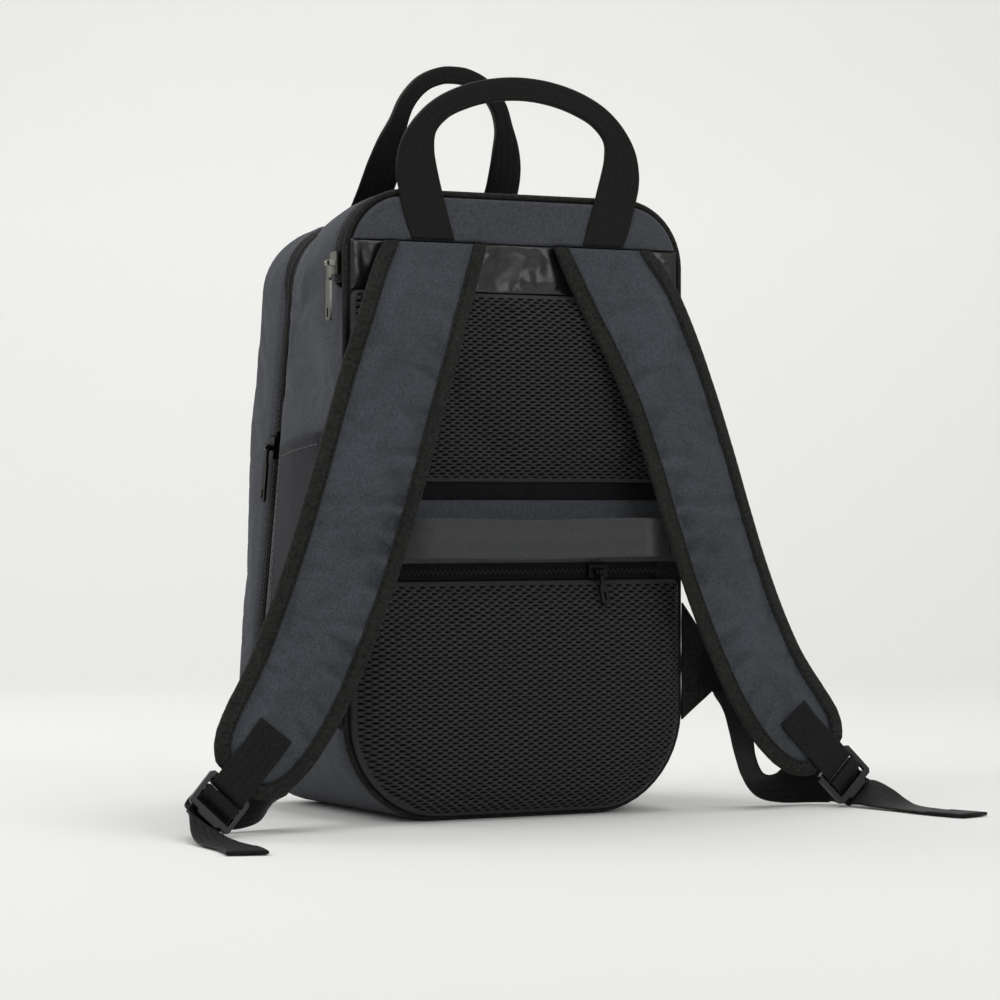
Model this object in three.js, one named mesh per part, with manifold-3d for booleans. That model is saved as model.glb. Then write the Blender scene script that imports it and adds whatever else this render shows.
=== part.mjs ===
// A cabin backpack standing on its base, seen from the side that lies on the wearer's back.
// Millimetres, +Z up. The back panel faces -Y, the front compartment faces +Y,
// and the origin is the middle of the flat base.
import * as THREE from 'three';
import { mergeVertices } from 'three/addons/utils/BufferGeometryUtils.js';
import Module from 'manifold-3d';

const wasm = await Module();
wasm.setup();

const GAP = 0.3;
const TINY = 1e-6;

// Body: a box of cloth, taller at the back, whose front face leans back towards the top.
const BODY = {
  backY: -86, halfWidth: 122, height: 398, topRadius: 42, bottomRadius: 64, wall: 2,
  frontHalfWidth: 119.5, frontHeight: 382,
};
const PANEL_THICK = 3;
const PIPING = { radius: 1.9, sides: 6, y: BODY.backY + 1.6 };
const GUSSET_BACK = 3.8;

// The main zip runs over the top beside the back panel; the front zip divides the two compartments.
const MAIN_ZIP = { near: 4.1, far: 15.7, out: 0.6, into: -1.4, endZ: 338.4 };
const FRONT_ZIP = { baseDepth: 160.7, slope: 0.2077, half: 3.5, out: -1.2, into: -3, endZ: 247 };
const SIDE_ZIP = { lowZ: 73, highZ: 246 };
const EDGE_STEP = 1.5;
const SEAM_HALF = 0.2;

// Depth of the front face: full at the belly, falling away as a parabola above it.
const FACE = { depth: 184, bellyZ: 60, fall: 34, over: 275 };

// Rows of the main compartment's wall from the back panel to the front zip.
const GUSSET_ROWS = [
  { along: 0, swell: 0 },
  { along: 0.08, swell: 0.6 },
  { along: 0.3, swell: 2.4 },
  { along: 0.6, swell: 2.8 },
  { along: 0.9, swell: 1.4 },
  { along: 1, swell: -1.5 },
];
// Rows of the front compartment: first its side, then the rounded edge of its face.
const SHELL_SIDE_ROWS = [
  { along: 0, swell: -1.5 },
  { along: 0.12, swell: 1 },
  { along: 0.5, swell: 1.4 },
  { along: 1, swell: -0.5 },
];
const SHELL_EDGE_ROWS = [
  { inset: 5, drop: 10 },
  { inset: 13, drop: 3.8 },
  { inset: 25, drop: 0.8 },
];
const SHELL_EDGE_DROP = 18;
const SHELL_FACE_SCALES = [0.72, 0.38];

// Pieces sewn on the back panel, by height.
const SEWN = {
  yokeLow: 367.3, satinLow: 335.4, bindingLow: 203.8, bindingHigh: 214.6,
  middleLow: 163.2, zipLow: 152.1, inset: 2.8, halfWidth: 119.2,
};
const SEWN_THICK = { yoke: 1.6, satin: 1.2, binding: 1.7, middle: 1.2, zip: 1.5 };
const BACK_ZIP_HALF = 105;
const UPPER_PAD = { halfWidth: 119.2, low: 215, high: 335, bottomRadius: 5, topRadius: 5, swell: 11 };
const LOWER_PAD = { halfWidth: 119.2, low: 3, high: 151.6, bottomRadius: 62.4, topRadius: 5, swell: 15 };
const PAD_CORNER = 4;
const PAD_ROWS = [
  { inset: 0, rise: 0.16 },
  { inset: 2.5, rise: 0.4 },
  { inset: 7, rise: 0.66 },
  { inset: 14, rise: 0.85 },
  { inset: 28, rise: 0.97 },
  { inset: 46, rise: 1 },
];

// Shoulder straps: the middle line of the right one from its top seam down to its free end.
const STRAP_LINE = [
  { x: 61, y: -90.1, z: 366.4, turn: 0 },
  { x: 71.5, y: -94.5, z: 345, turn: 0 },
  { x: 85, y: -103.5, z: 313, turn: 4 },
  { x: 101, y: -109, z: 272, turn: 8 },
  { x: 115, y: -112, z: 230, turn: 9 },
  { x: 128, y: -113, z: 190, turn: 9 },
  { x: 141.5, y: -113.5, z: 152, turn: 9 },
  { x: 156.5, y: -114.5, z: 116, turn: 9 },
  { x: 172, y: -116, z: 85, turn: 8 },
  { x: 190, y: -118.5, z: 59, turn: 6 },
  { x: 209, y: -122, z: 39, turn: 4 },
];
// Stations along a strap: half width of the padding and its half thickness.
const STRAP_STATIONS = [
  { at: 0, half: 29, thick: 2.2 },
  { at: 0.05, half: 28.5, thick: 2.8 },
  { at: 0.1, half: 28.5, thick: 4 },
  { at: 0.17, half: 28.5, thick: 4.4 },
  { at: 0.25, half: 28.5, thick: 4.5 },
  { at: 0.33, half: 28.5, thick: 4.5 },
  { at: 0.41, half: 28.5, thick: 4.5 },
  { at: 0.49, half: 28.5, thick: 4.5 },
  { at: 0.57, half: 28.3, thick: 4.5 },
  { at: 0.65, half: 28, thick: 4.5 },
  { at: 0.73, half: 27.6, thick: 4.5 },
  { at: 0.8, half: 27.2, thick: 4.4 },
  { at: 0.86, half: 26.8, thick: 4 },
  { at: 0.91, half: 26.2, thick: 3.4 },
  { at: 0.945, half: 24.6, thick: 3 },
  { at: 0.97, half: 22.2, thick: 2.7 },
  { at: 0.988, half: 18.6, thick: 2.5 },
  { at: 1, half: 14, thick: 2.4 },
];
// Across a strap: share of its half width, and of its half thickness there.
const STRAP_PROFILE = [
  { w: -1, h: 0.52 }, { w: -0.72, h: 0.9 }, { w: 0, h: 1 }, { w: 0.72, h: 0.9 }, { w: 1, h: 0.52 },
];
const BINDING = { width: 7.7, innerHalf: 2.3, outerHalf: 1.7 };

// Ladder lock at the end of each strap, and the webbing patch that holds it.
const LOCK = {
  fromEnd: 14, half: 16.5, slotHalf: 13.3, thick: 3.4, tabHalf: 9,
  bars: { firstLow: -2.5, firstHigh: 2.5, secondLow: 8.5, secondHigh: 12.5, thirdLow: 18.5, thirdHigh: 23 },
  tabEnd: 25,
};
const WEB = { half: 12.5, thick: 1.4 };
const PATCH = { half: 12.5, thick: 1.6 };
const PATCH_STATIONS = 36;
const PATCH_FLAT = [
  { fromEnd: -33, up: 5 },
  { fromEnd: -22, up: 4.6 },
  { fromEnd: -11, up: 4.2 },
  { fromEnd: 0, up: 3.9 },
  { fromEnd: 7, up: 3.6 },
];
const PATCH_LOOP = [
  { along: -2.5, up: 3.3 },
  { along: 1.4, up: 3.1 },
  { along: 3.4, up: 2.3 },
  { along: 4.1, up: 0 },
  { along: 3.4, up: -2.3 },
  { along: 1.4, up: -3.1 },
  { along: -2.2, up: -3.2 },
];

// Side wings: cloth tabs sewn into the side seams that anchor the adjusting webbing.
const WING = { seamX: 124.4, lowZ: 59, highZ: 136, tipX: 147.5, tipLowZ: 77, tipHighZ: 105, near: -86, far: -84.2 };

// Route of the right adjusting webbing: sewn on the wing, slack to the floor, up to the lock.
const WEB_SLACK = [
  { x: 138, y: -87.2, z: 92, wx: 0.2, wy: 0, wz: 0.98 },
  { x: 148, y: -87.3, z: 90, wx: 0.25, wy: 0, wz: 0.97 },
  { x: 156, y: -88.6, z: 85, wx: 0.35, wy: -0.02, wz: 0.9 },
  { x: 161.5, y: -90.2, z: 76, wx: 0.4, wy: -0.45, wz: 0.6 },
  { x: 164.5, y: -91.4, z: 63, wx: 0.25, wy: -0.95, wz: 0.25 },
  { x: 166, y: -92.8, z: 49, wx: 0.1, wy: -1, wz: 0 },
  { x: 168, y: -94.4, z: 34, wx: 0, wy: -1, wz: 0.05 },
  { x: 173, y: -96, z: 21, wx: 0, wy: -0.97, wz: 0.2 },
  { x: 183.5, y: -96.5, z: 14.6, wx: 0, wy: -0.7, wz: 0.7 },
  { x: 198, y: -95.5, z: 13.8, wx: 0, wy: -0.25, wz: 1 },
  { x: 213, y: -95.5, z: 13.8, wx: 0, wy: 0, wz: 1 },
  { x: 225, y: -99.5, z: 13.8, wx: 0.1, wy: 0.05, wz: 1 },
  { x: 231, y: -106.5, z: 13.4, wx: 0.35, wy: 0.1, wz: 0.93 },
];
// Inside the lock: distance along the strap from the first bar, and height over the lock's middle.
const WEB_IN_LOCK = [
  { along: 22, up: -12.6 },
  { along: 23.6, up: -8.8 },
  { along: 22, up: -5.6 },
  { along: 17, up: -4.5 },
  { along: 10.5, up: -4.3 },
  { along: 7.2, up: -2.6 },
  { along: 6.4, up: 0 },
  { along: 7, up: 2.1 },
  { along: 9, up: 2.85 },
  { along: 11.6, up: 2.85 },
  { along: 13.6, up: 2.1 },
  { along: 14.7, up: 0.2 },
  { along: 15.9, up: -1.8 },
  { along: 18.2, up: -2.8 },
  { along: 21.5, up: -2.9 },
  { along: 25, up: -2.9 },
];
const WEB_TAIL = [
  { x: 237.4, y: -126.2, z: 9.5, wx: 0.75, wy: 0.07, wz: 0.64 },
  { x: 237.9, y: -129.4, z: 9.7, wx: 0.78, wy: 0.06, wz: 0.6 },
  { x: 238.6, y: -133.5, z: 9.4, wx: 0.82, wy: 0.05, wz: 0.55 },
  { x: 239.8, y: -139.2, z: 8.5, wx: 0.88, wy: 0.05, wz: 0.46 },
  { x: 241.8, y: -146.2, z: 6.6, wx: 0.94, wy: 0.05, wz: 0.33 },
  { x: 243.6, y: -154, z: 4.3, wx: 0.99, wy: 0.05, wz: 0.15 },
  { x: 245, y: -162.5, z: 2.6, wx: 1, wy: 0.03, wz: 0.03 },
  { x: 246.2, y: -172, z: 1.9, wx: 1, wy: 0.02, wz: 0 },
  { x: 247, y: -184, z: 1.8, wx: 1, wy: 0.02, wz: 0 },
  { x: 248, y: -199, z: 1.8, wx: 1, wy: 0.1, wz: 0 },
  { x: 251, y: -216, z: 1.9, wx: 1, wy: 0.18, wz: 0 },
  { x: 255, y: -231, z: 1.9, wx: 1, wy: 0.22, wz: 0 },
];
const WEB_STATIONS = 90;
const HEM = { length: 0.05, thick: 2.4 };

// Luggage band: right half of its line across the back panel, at one height.
const BAND = { z: 179, half: 12.5, thick: 1.4 };
const BAND_STATIONS = 44;
const BAND_LINE = [
  { x: 112, y: -88.7 },
  { x: 106, y: -89.2 },
  { x: 101.5, y: -92 },
  { x: 95.5, y: -98.5 },
  { x: 89, y: -105.8 },
  { x: 83, y: -112 },
  { x: 77, y: -115.9 },
  { x: 66, y: -117.5 },
  { x: 30, y: -118 },
  { x: 0, y: -118 },
];

// Grab handles: right half of each, flat webbing on the legs and folded double at the grip.
const BACK_HANDLE = [
  { x: 62, y: -89.1, z: 368.2, half: 15, thick: 0.9 },
  { x: 67, y: -89.1, z: 383, half: 15, thick: 0.9 },
  { x: 71.5, y: -89.2, z: 399, half: 15, thick: 0.9 },
  { x: 74.5, y: -89.6, z: 413, half: 14.5, thick: 1 },
  { x: 74, y: -90.2, z: 427, half: 12, thick: 1.6 },
  { x: 69, y: -90.8, z: 440, half: 8.5, thick: 2.2 },
  { x: 58, y: -91.2, z: 451, half: 7.5, thick: 2.4 },
  { x: 42, y: -91.5, z: 459, half: 7.5, thick: 2.4 },
  { x: 22, y: -91.6, z: 464.5, half: 7.5, thick: 2.4 },
  { x: 0, y: -91.7, z: 466.5, half: 7.5, thick: 2.4 },
];
const FRONT_HANDLE = [
  { x: 46, y: 64, z: 340, half: 13.5, thick: 0.9 },
  { x: 46, y: 60.1, z: 354, half: 13.5, thick: 0.9 },
  { x: 46, y: 54.3, z: 368, half: 13.5, thick: 0.9 },
  { x: 46.3, y: 47, z: 381, half: 13.5, thick: 0.9 },
  { x: 46.8, y: 36, z: 396, half: 13.5, thick: 0.9 },
  { x: 46.8, y: 22, z: 411, half: 13, thick: 1 },
  { x: 45.2, y: 13.5, z: 426, half: 12.2, thick: 1.2 },
  { x: 42.8, y: 8.5, z: 440, half: 9.8, thick: 1.8 },
  { x: 39.5, y: 5, z: 453, half: 6.5, thick: 2.4 },
  { x: 34, y: 3, z: 467, half: 5.8, thick: 2.6 },
  { x: 23, y: 2.2, z: 479, half: 5.8, thick: 2.6 },
  { x: 9, y: 2, z: 485, half: 5.8, thick: 2.6 },
  { x: 0, y: 2, z: 485.8, half: 5.8, thick: 2.6 },
];
const HANDLE_STATIONS = 40;

// Side pocket: a panel on the left wall, under the end of the front zip.
const POCKET = { alongs: [0.3, 0.45, 0.6, 0.75, 0.9], heights: [73, 110, 170, 245.5], lift: 0.45, thick: 1.4 };

// Zip sliders and pullers: the puller's eye turns on a bar between two posts.
const SLIDER = {
  length: 14, width: 8, thick: 3.5, postGap: 2.1, postThick: 1.5, postHalf: 1.6, postTop: 0.3, postSink: 0.5,
  barRadius: 0.9, barRise: 2.8,
};
const PULLER = {
  eyeOuter: 2.2, eyeInner: 1.35, eyeHalf: 1.7, neckHalf: 1.5, neckLength: 9,
  bladeHalf: 2.7, endHalf: 3.1, thick: 1.7, bevel: 1, flare: 2, root: 0.35,
  slotHalf: 0.9, slotFromEnd: 2, slotLength: 6,
};
const FACETS = 12;
const FACING_LEFT = Math.PI / 2;
const FACING_BACK = Math.PI;
const PULLS = [
  { name: 'main_zip', x: -122.9, y: -76, z: 352, yaw: FACING_LEFT, tilt: 0, lean: 0, length: 36, lying: false },
  { name: 'side_zip', x: -118.6, y: 25.3, z: 238, yaw: FACING_LEFT, tilt: -0.2048, lean: 0, length: 36, lying: false },
  { name: 'back_zip', x: 57, y: -88.1, z: 157.5, yaw: FACING_BACK, tilt: 0, lean: 0.32, length: 22, lying: true },
];

const MATERIALS = {
  charcoal: { color: 0x3a3d42, roughness: 0.9, metalness: 0 },
  pocket: { color: 0x33353a, roughness: 0.9, metalness: 0 },
  black: { color: 0x1b1c1b, roughness: 0.85, metalness: 0 },
  satin: { color: 0x232423, roughness: 0.55, metalness: 0 },
  mesh: { color: 0x1c1d1c, roughness: 0.95, metalness: 0 },
  webbing: { color: 0x191918, roughness: 0.8, metalness: 0 },
  plastic: { color: 0x0c0d0d, roughness: 0.4, metalness: 0 },
  metal: { color: 0x6c6e68, roughness: 0.35, metalness: 0.9 },
};

const bag = new THREE.Group();

function addMesh(name, geometry, material) {
  const mesh = new THREE.Mesh(geometry, new THREE.MeshStandardMaterial(MATERIALS[material]));
  mesh.name = name;
  bag.add(mesh);
  return mesh;
}

const lerp = THREE.MathUtils.lerp;
const clamp = THREE.MathUtils.clamp;

function vec(x, y, z) {
  return new THREE.Vector3(x, y, z);
}

// Volume under the triangles, negative where they face inwards.
function signedVolume(points, index) {
  let volume = 0;
  for (let i = 0; i < index.length; i += 3) {
    const [a, b, c] = [points[index[i]], points[index[i + 1]], points[index[i + 2]]];
    volume += a.dot(vec(0, 0, 0).crossVectors(b, c));
  }
  return volume;
}

function solidFrom(points, index) {
  const facing = signedVolume(points, index) < 0 ? [...index].reverse() : index;
  const geometry = new THREE.BufferGeometry();
  geometry.setAttribute('position', new THREE.Float32BufferAttribute(points.flatMap((p) => p.toArray()), 3));
  geometry.setIndex(facing);
  geometry.computeVertexNormals();
  return geometry;
}

function middleOf(ring) {
  return ring.reduce((sum, p) => sum.add(p), vec(0, 0, 0)).divideScalar(ring.length);
}

// Joins rings of equal length into a closed skin, capped at both ends unless it runs in a loop.
function skin(rings, { loop = false } = {}) {
  const count = rings[0].length;
  const points = rings.flat();
  const index = [];
  const lastRow = loop ? rings.length : rings.length - 1;
  for (let row = 0; row < lastRow; row += 1) {
    const next = (row + 1) % rings.length;
    for (let i = 0; i < count; i += 1) {
      const j = (i + 1) % count;
      const [a, b] = [row * count + i, row * count + j];
      const [c, d] = [next * count + j, next * count + i];
      index.push(a, b, c, a, c, d);
    }
  }
  if (!loop) {
    const start = points.push(middleOf(rings[0])) - 1;
    const end = points.push(middleOf(rings[rings.length - 1])) - 1;
    const endRow = (rings.length - 1) * count;
    for (let i = 0; i < count; i += 1) {
      const j = (i + 1) % count;
      index.push(start, j, i, end, endRow + i, endRow + j);
    }
  }
  return solidFrom(points, index);
}

function toManifold(geometry) {
  const bare = geometry.clone();
  bare.deleteAttribute('normal');
  bare.deleteAttribute('uv');
  const merged = mergeVertices(bare, 1e-4);
  return new wasm.Manifold(new wasm.Mesh({
    numProp: 3,
    vertProperties: merged.attributes.position.array,
    triVerts: Uint32Array.from(merged.index.array),
  }));
}

function joined(geometries) {
  const whole = geometries.map(toManifold).reduce((sum, part) => sum.add(part));
  const { vertProperties, triVerts } = whole.getMesh();
  const geometry = new THREE.BufferGeometry();
  geometry.setAttribute('position', new THREE.Float32BufferAttribute(vertProperties, 3));
  geometry.setIndex([...triVerts]);
  geometry.computeVertexNormals();
  return geometry;
}

// Outline of the body seen from the back, anticlockwise from the middle of the base.
function outline({ halfWidth, low, high, bottomRadius, topRadius, sideBreaks }) {
  const cornerSteps = 6;
  const flatSteps = 3;
  const half = [];
  const push = (x, z, nx, nz) => half.push({ x, z, nx, nz });
  for (let i = 0; i < flatSteps; i += 1) {
    push((halfWidth - bottomRadius) * (i / flatSteps), low, 0, -1);
  }
  for (let i = 0; i <= cornerSteps; i += 1) {
    const angle = (i / cornerSteps) * (Math.PI / 2);
    const [s, c] = [Math.sin(angle), Math.cos(angle)];
    push(halfWidth - bottomRadius * (1 - s), low + bottomRadius * (1 - c), s, -c);
  }
  sideBreaks.forEach((z) => push(halfWidth, z, 1, 0));
  for (let i = 0; i <= cornerSteps; i += 1) {
    const angle = (i / cornerSteps) * (Math.PI / 2);
    const [s, c] = [Math.sin(angle), Math.cos(angle)];
    push(halfWidth - topRadius * (1 - c), high - topRadius * (1 - s), c, s);
  }
  for (let i = 1; i <= flatSteps; i += 1) {
    push((halfWidth - topRadius) * (1 - i / flatSteps), high, 0, 1);
  }
  const mirror = half.slice(1, -1).reverse().map((p) => ({ x: -p.x, z: p.z, nx: -p.nx, nz: p.nz }));
  return [...half, ...mirror];
}

// Heights along the side walls where the outline has a point.
const LOW_BREAKS = [110, 170];
const HIGH_BREAK = 292;
const BODY_BREAKS = [
  SIDE_ZIP.lowZ - EDGE_STEP, SIDE_ZIP.lowZ, ...LOW_BREAKS,
  FRONT_ZIP.endZ - EDGE_STEP, FRONT_ZIP.endZ, HIGH_BREAK,
  MAIN_ZIP.endZ - EDGE_STEP, MAIN_ZIP.endZ,
];

// Body outline at a share of the way from the back panel to the front zip.
function bodyOutline(along) {
  return outline({
    halfWidth: lerp(BODY.halfWidth, BODY.frontHalfWidth, along),
    low: 0,
    high: lerp(BODY.height, BODY.frontHeight, along),
    bottomRadius: BODY.bottomRadius,
    topRadius: BODY.topRadius,
    sideBreaks: BODY_BREAKS,
  });
}

// The walls swell at the sides and top; the base stays flat.
const BASE_STAYS = 1.3;
function swollen(p, swell) {
  const share = swell * clamp(1 + BASE_STAYS * p.nz, 0, 1);
  return { ...p, x: p.x + p.nx * share, z: p.z + p.nz * share };
}

function inset(p, distance) {
  return { ...p, x: p.x - p.nx * distance, z: p.z - p.nz * distance };
}

function zipDepth(z) {
  return FRONT_ZIP.baseDepth - FRONT_ZIP.slope * z;
}

function faceDepth(z) {
  const above = Math.max(0, z - FACE.bellyZ) / FACE.over;
  return FACE.depth - FACE.fall * above * above;
}

// Half the space left for the zip between the two compartments.
function zipHalf(p) {
  const low = p.x < 0 ? SIDE_ZIP.lowZ : FRONT_ZIP.endZ;
  return p.z >= low - TINY ? FRONT_ZIP.half + GAP : SEAM_HALF;
}

function gussetBack(p) {
  return p.z >= MAIN_ZIP.endZ - TINY ? MAIN_ZIP.far + GAP : GUSSET_BACK;
}

function gussetSwell(along) {
  const next = GUSSET_ROWS.findIndex((row) => row.along >= along);
  const [from, to] = [GUSSET_ROWS[Math.max(next - 1, 0)], GUSSET_ROWS[next]];
  const share = to.along === from.along ? 0 : (along - from.along) / (to.along - from.along);
  return lerp(from.swell, to.swell, share);
}

function gussetPoint(p, along, lift) {
  const depth = lerp(gussetBack(p), zipDepth(p.z) - zipHalf(p), along);
  const q = inset(swollen(p, gussetSwell(along)), -lift);
  return vec(q.x, BODY.backY + depth, q.z);
}

// Wall of the main compartment: base, both sides and top in one band, open at back and front.
function mainGusset() {
  const outer = GUSSET_ROWS.map(({ along }) => bodyOutline(along).map((p) => gussetPoint(p, along, 0)));
  const inner = GUSSET_ROWS.map(({ along }) => bodyOutline(along).map((p) => gussetPoint(p, along, -BODY.wall)));
  return skin([...outer, ...inner.reverse()], { loop: true });
}

function shellSidePoint(p, row, wall) {
  const rim = zipDepth(p.z) + zipHalf(p);
  const depth = lerp(rim, faceDepth(p.z) - SHELL_EDGE_DROP, row.along);
  const q = inset(swollen(p, row.swell), wall);
  return vec(q.x, BODY.backY + depth, q.z);
}

function shellEdgePoint(p, row, wall) {
  const q = inset(p, row.inset + wall);
  return vec(q.x, BODY.backY + faceDepth(q.z) - row.drop - wall, q.z);
}

function shellFacePoint(p, scale, wall) {
  const last = SHELL_EDGE_ROWS[SHELL_EDGE_ROWS.length - 1];
  const edge = inset(p, last.inset + wall);
  const middle = BODY.frontHeight / 2;
  const z = lerp(middle, edge.z, scale);
  return vec(edge.x * scale, BODY.backY + faceDepth(z) - wall, z);
}

function shellRings(wall) {
  const rim = bodyOutline(1);
  return [
    ...SHELL_SIDE_ROWS.map((row) => rim.map((p) => shellSidePoint(p, row, wall))),
    ...SHELL_EDGE_ROWS.map((row) => rim.map((p) => shellEdgePoint(p, row, wall))),
    ...SHELL_FACE_SCALES.map((scale) => rim.map((p) => shellFacePoint(p, scale, wall))),
  ];
}

// Front compartment: a dish of cloth, open towards the main compartment.
function frontCompartment() {
  return skin([...shellRings(0).reverse(), ...shellRings(BODY.wall)]);
}

// A strip of wall that follows part of the body outline between two depths.
function wallStrip(stations, { near, far, out, into }) {
  const rings = stations.map((p) => {
    const [top, bottom] = [inset(p, -out), inset(p, -into)];
    return [
      vec(top.x, BODY.backY + near(p), top.z), vec(top.x, BODY.backY + far(p), top.z),
      vec(bottom.x, BODY.backY + far(p), bottom.z), vec(bottom.x, BODY.backY + near(p), bottom.z),
    ];
  });
  return skin(rings);
}

function trimmed(stations, trim) {
  const lifted = (p) => ({ ...p, z: p.z + trim });
  return [lifted(stations[0]), ...stations.slice(1, -1), lifted(stations[stations.length - 1])];
}

function zipTapes() {
  const arch = bodyOutline(0).filter((p) => p.z >= MAIN_ZIP.endZ - TINY);
  const main = wallStrip(trimmed(arch, GAP), {
    near: () => MAIN_ZIP.near, far: () => MAIN_ZIP.far, out: MAIN_ZIP.out, into: MAIN_ZIP.into,
  });
  const line = {
    near: (p) => zipDepth(p.z) - FRONT_ZIP.half, far: (p) => zipDepth(p.z) + FRONT_ZIP.half,
    out: FRONT_ZIP.out, into: FRONT_ZIP.into,
  };
  const rim = bodyOutline(1);
  const front = wallStrip(trimmed(rim.filter((p) => p.z >= FRONT_ZIP.endZ - TINY), GAP), line);
  const isSide = (p) => p.x < 0 && p.nz === 0 && p.z >= SIDE_ZIP.lowZ - TINY && p.z < SIDE_ZIP.highZ;
  const sideStations = rim.filter(isSide);
  const lowest = sideStations[sideStations.length - 1];
  const side = wallStrip([...sideStations.slice(0, -1), { ...lowest, z: lowest.z + GAP }], line);
  addMesh('main_zip_tape', main, 'black');
  addMesh('front_zip_tape', front, 'black');
  addMesh('side_zip_tape', side, 'black');
}

// A flat plate on the back panel, from an outline of points and a thickness outwards.
function plate(points, base, thick) {
  return skin([base, base - thick].map((y) => points.map((p) => vec(p.x, y, p.z))));
}

function rectangle(halfWidth, low, high) {
  return [
    { x: -halfWidth, z: low }, { x: halfWidth, z: low },
    { x: halfWidth, z: high }, { x: -halfWidth, z: high },
  ];
}

// The piping stands proud of the back's edge, but on the base it is tucked in above the floor.
function pipingTuck(p) {
  return PIPING.radius * Math.max(0, -p.nz);
}

function piping() {
  const rings = bodyOutline(0).map((p) => Array.from({ length: PIPING.sides }, (_, i) => {
    const angle = (i / PIPING.sides) * 2 * Math.PI;
    const q = inset(p, pipingTuck(p) - PIPING.radius * Math.cos(angle));
    return vec(q.x, PIPING.y + PIPING.radius * Math.sin(angle), q.z);
  }));
  return skin(rings, { loop: true });
}

// Crowned pad: flat behind, rising in rows from its sewn edge to a broad crown.
function pad({ halfWidth, low, high, bottomRadius, topRadius, swell }) {
  const base = BODY.backY - GAP;
  const ringAt = (distance, rise) => outline({
    halfWidth: halfWidth - distance,
    low: low + distance,
    high: high - distance,
    bottomRadius: Math.max(bottomRadius - distance, PAD_CORNER),
    topRadius: Math.max(topRadius - distance, PAD_CORNER),
    sideBreaks: [],
  }).map((p) => vec(p.x, base - rise * swell, p.z));
  return skin([ringAt(0, 0), ...PAD_ROWS.map(({ inset: distance, rise }) => ringAt(distance, rise))]);
}

function backPanelPieces() {
  const face = BODY.backY - GAP;
  const panel = bodyOutline(0).map((p) => inset(p, pipingTuck(p) + PIPING.radius + GAP));
  addMesh('back_panel', plate(panel, BODY.backY + PANEL_THICK, PANEL_THICK), 'black');
  addMesh('back_piping', piping(), 'black');
  const top = bodyOutline(0).map((p) => inset(p, SEWN.inset)).filter((p) => p.z > SEWN.yokeLow + 1);
  const yoke = [
    { x: SEWN.halfWidth, z: SEWN.yokeLow }, ...top, { x: -SEWN.halfWidth, z: SEWN.yokeLow },
  ];
  addMesh('yoke_panel', plate(yoke, face, SEWN_THICK.yoke), 'charcoal');
  const satin = rectangle(SEWN.halfWidth, SEWN.satinLow, SEWN.yokeLow - GAP);
  addMesh('satin_band', plate(satin, face, SEWN_THICK.satin), 'satin');
  addMesh('upper_back_pad', pad(UPPER_PAD), 'mesh');
  const binding = rectangle(SEWN.halfWidth, SEWN.bindingLow, SEWN.bindingHigh);
  addMesh('pad_binding', plate(binding, face, SEWN_THICK.binding), 'webbing');
  const middle = rectangle(SEWN.halfWidth, SEWN.middleLow, SEWN.bindingLow - GAP);
  addMesh('middle_panel', plate(middle, face, SEWN_THICK.middle), 'charcoal');
  const zip = rectangle(BACK_ZIP_HALF, SEWN.zipLow, SEWN.middleLow - GAP);
  addMesh('back_zip_tape', plate(zip, face, SEWN_THICK.zip), 'black');
  addMesh('lower_back_pad', pad(LOWER_PAD), 'mesh');
}

function sidePocket() {
  const wall = POCKET.heights.map((z) => ({ z, nx: -1, nz: 0 }));
  const column = (lift) => (p) => POCKET.alongs.map((along) => {
    const x = -lerp(BODY.halfWidth, BODY.frontHalfWidth, along);
    return gussetPoint({ ...p, x }, along, lift);
  });
  const rings = wall.map((p) => [
    ...column(POCKET.lift + POCKET.thick)(p),
    ...column(POCKET.lift)(p).reverse(),
  ]);
  return skin(rings);
}

// Where a strap runs: its middle, its direction, across to its outer edge, and out from its face.
// At its top it is cut level, along the seam under the yoke.
const strapCurve = new THREE.CatmullRomCurve3(STRAP_LINE.map(({ x, y, z }) => vec(x, y, z)));
const strapTurns = new THREE.CatmullRomCurve3(STRAP_LINE.map(({ turn }) => vec(turn, 0, 0)));

function strapFrame(at) {
  if (at === 0) {
    return { centre: strapCurve.getPoint(0), tangent: vec(0, 0, -1), across: vec(1, 0, 0), out: vec(0, -1, 0) };
  }
  const share = strapCurve.getUtoTmapping(clamp(at, 0, 1));
  const tangent = strapCurve.getTangent(share);
  const level = vec(-tangent.z, 0, tangent.x).normalize();
  const front = vec(0, 0, 0).crossVectors(tangent, level);
  const turn = THREE.MathUtils.degToRad(strapTurns.getPoint(share).x);
  const across = level.clone().multiplyScalar(Math.cos(turn)).addScaledVector(front, -Math.sin(turn));
  const out = vec(0, 0, 0).crossVectors(tangent, across).normalize();
  return { centre: strapCurve.getPoint(share), tangent, across, out };
}

function strapPoint(frame, along, across, out) {
  return frame.centre.clone()
    .addScaledVector(frame.tangent, along)
    .addScaledVector(frame.across, across)
    .addScaledVector(frame.out, out);
}

const lockFrame = strapFrame(1);

function lockPoint(along, across, up) {
  return strapPoint(lockFrame, LOCK.fromEnd + along, across, up);
}

// The left pieces are the right ones mirrored.
function mirrored(geometry) {
  const { position } = geometry.attributes;
  const points = Array.from({ length: position.count }, (_, i) => (
    vec(-position.getX(i), position.getY(i), position.getZ(i))
  ));
  return solidFrom(points, [...geometry.index.array]);
}

function strapPad() {
  const rings = STRAP_STATIONS.map(({ at, half, thick }) => {
    const frame = strapFrame(at);
    const face = (sign) => STRAP_PROFILE.map(({ w, h }) => strapPoint(frame, 0, w * half, sign * h * thick));
    return [...face(1), ...face(-1).reverse()];
  });
  return skin(rings);
}

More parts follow.
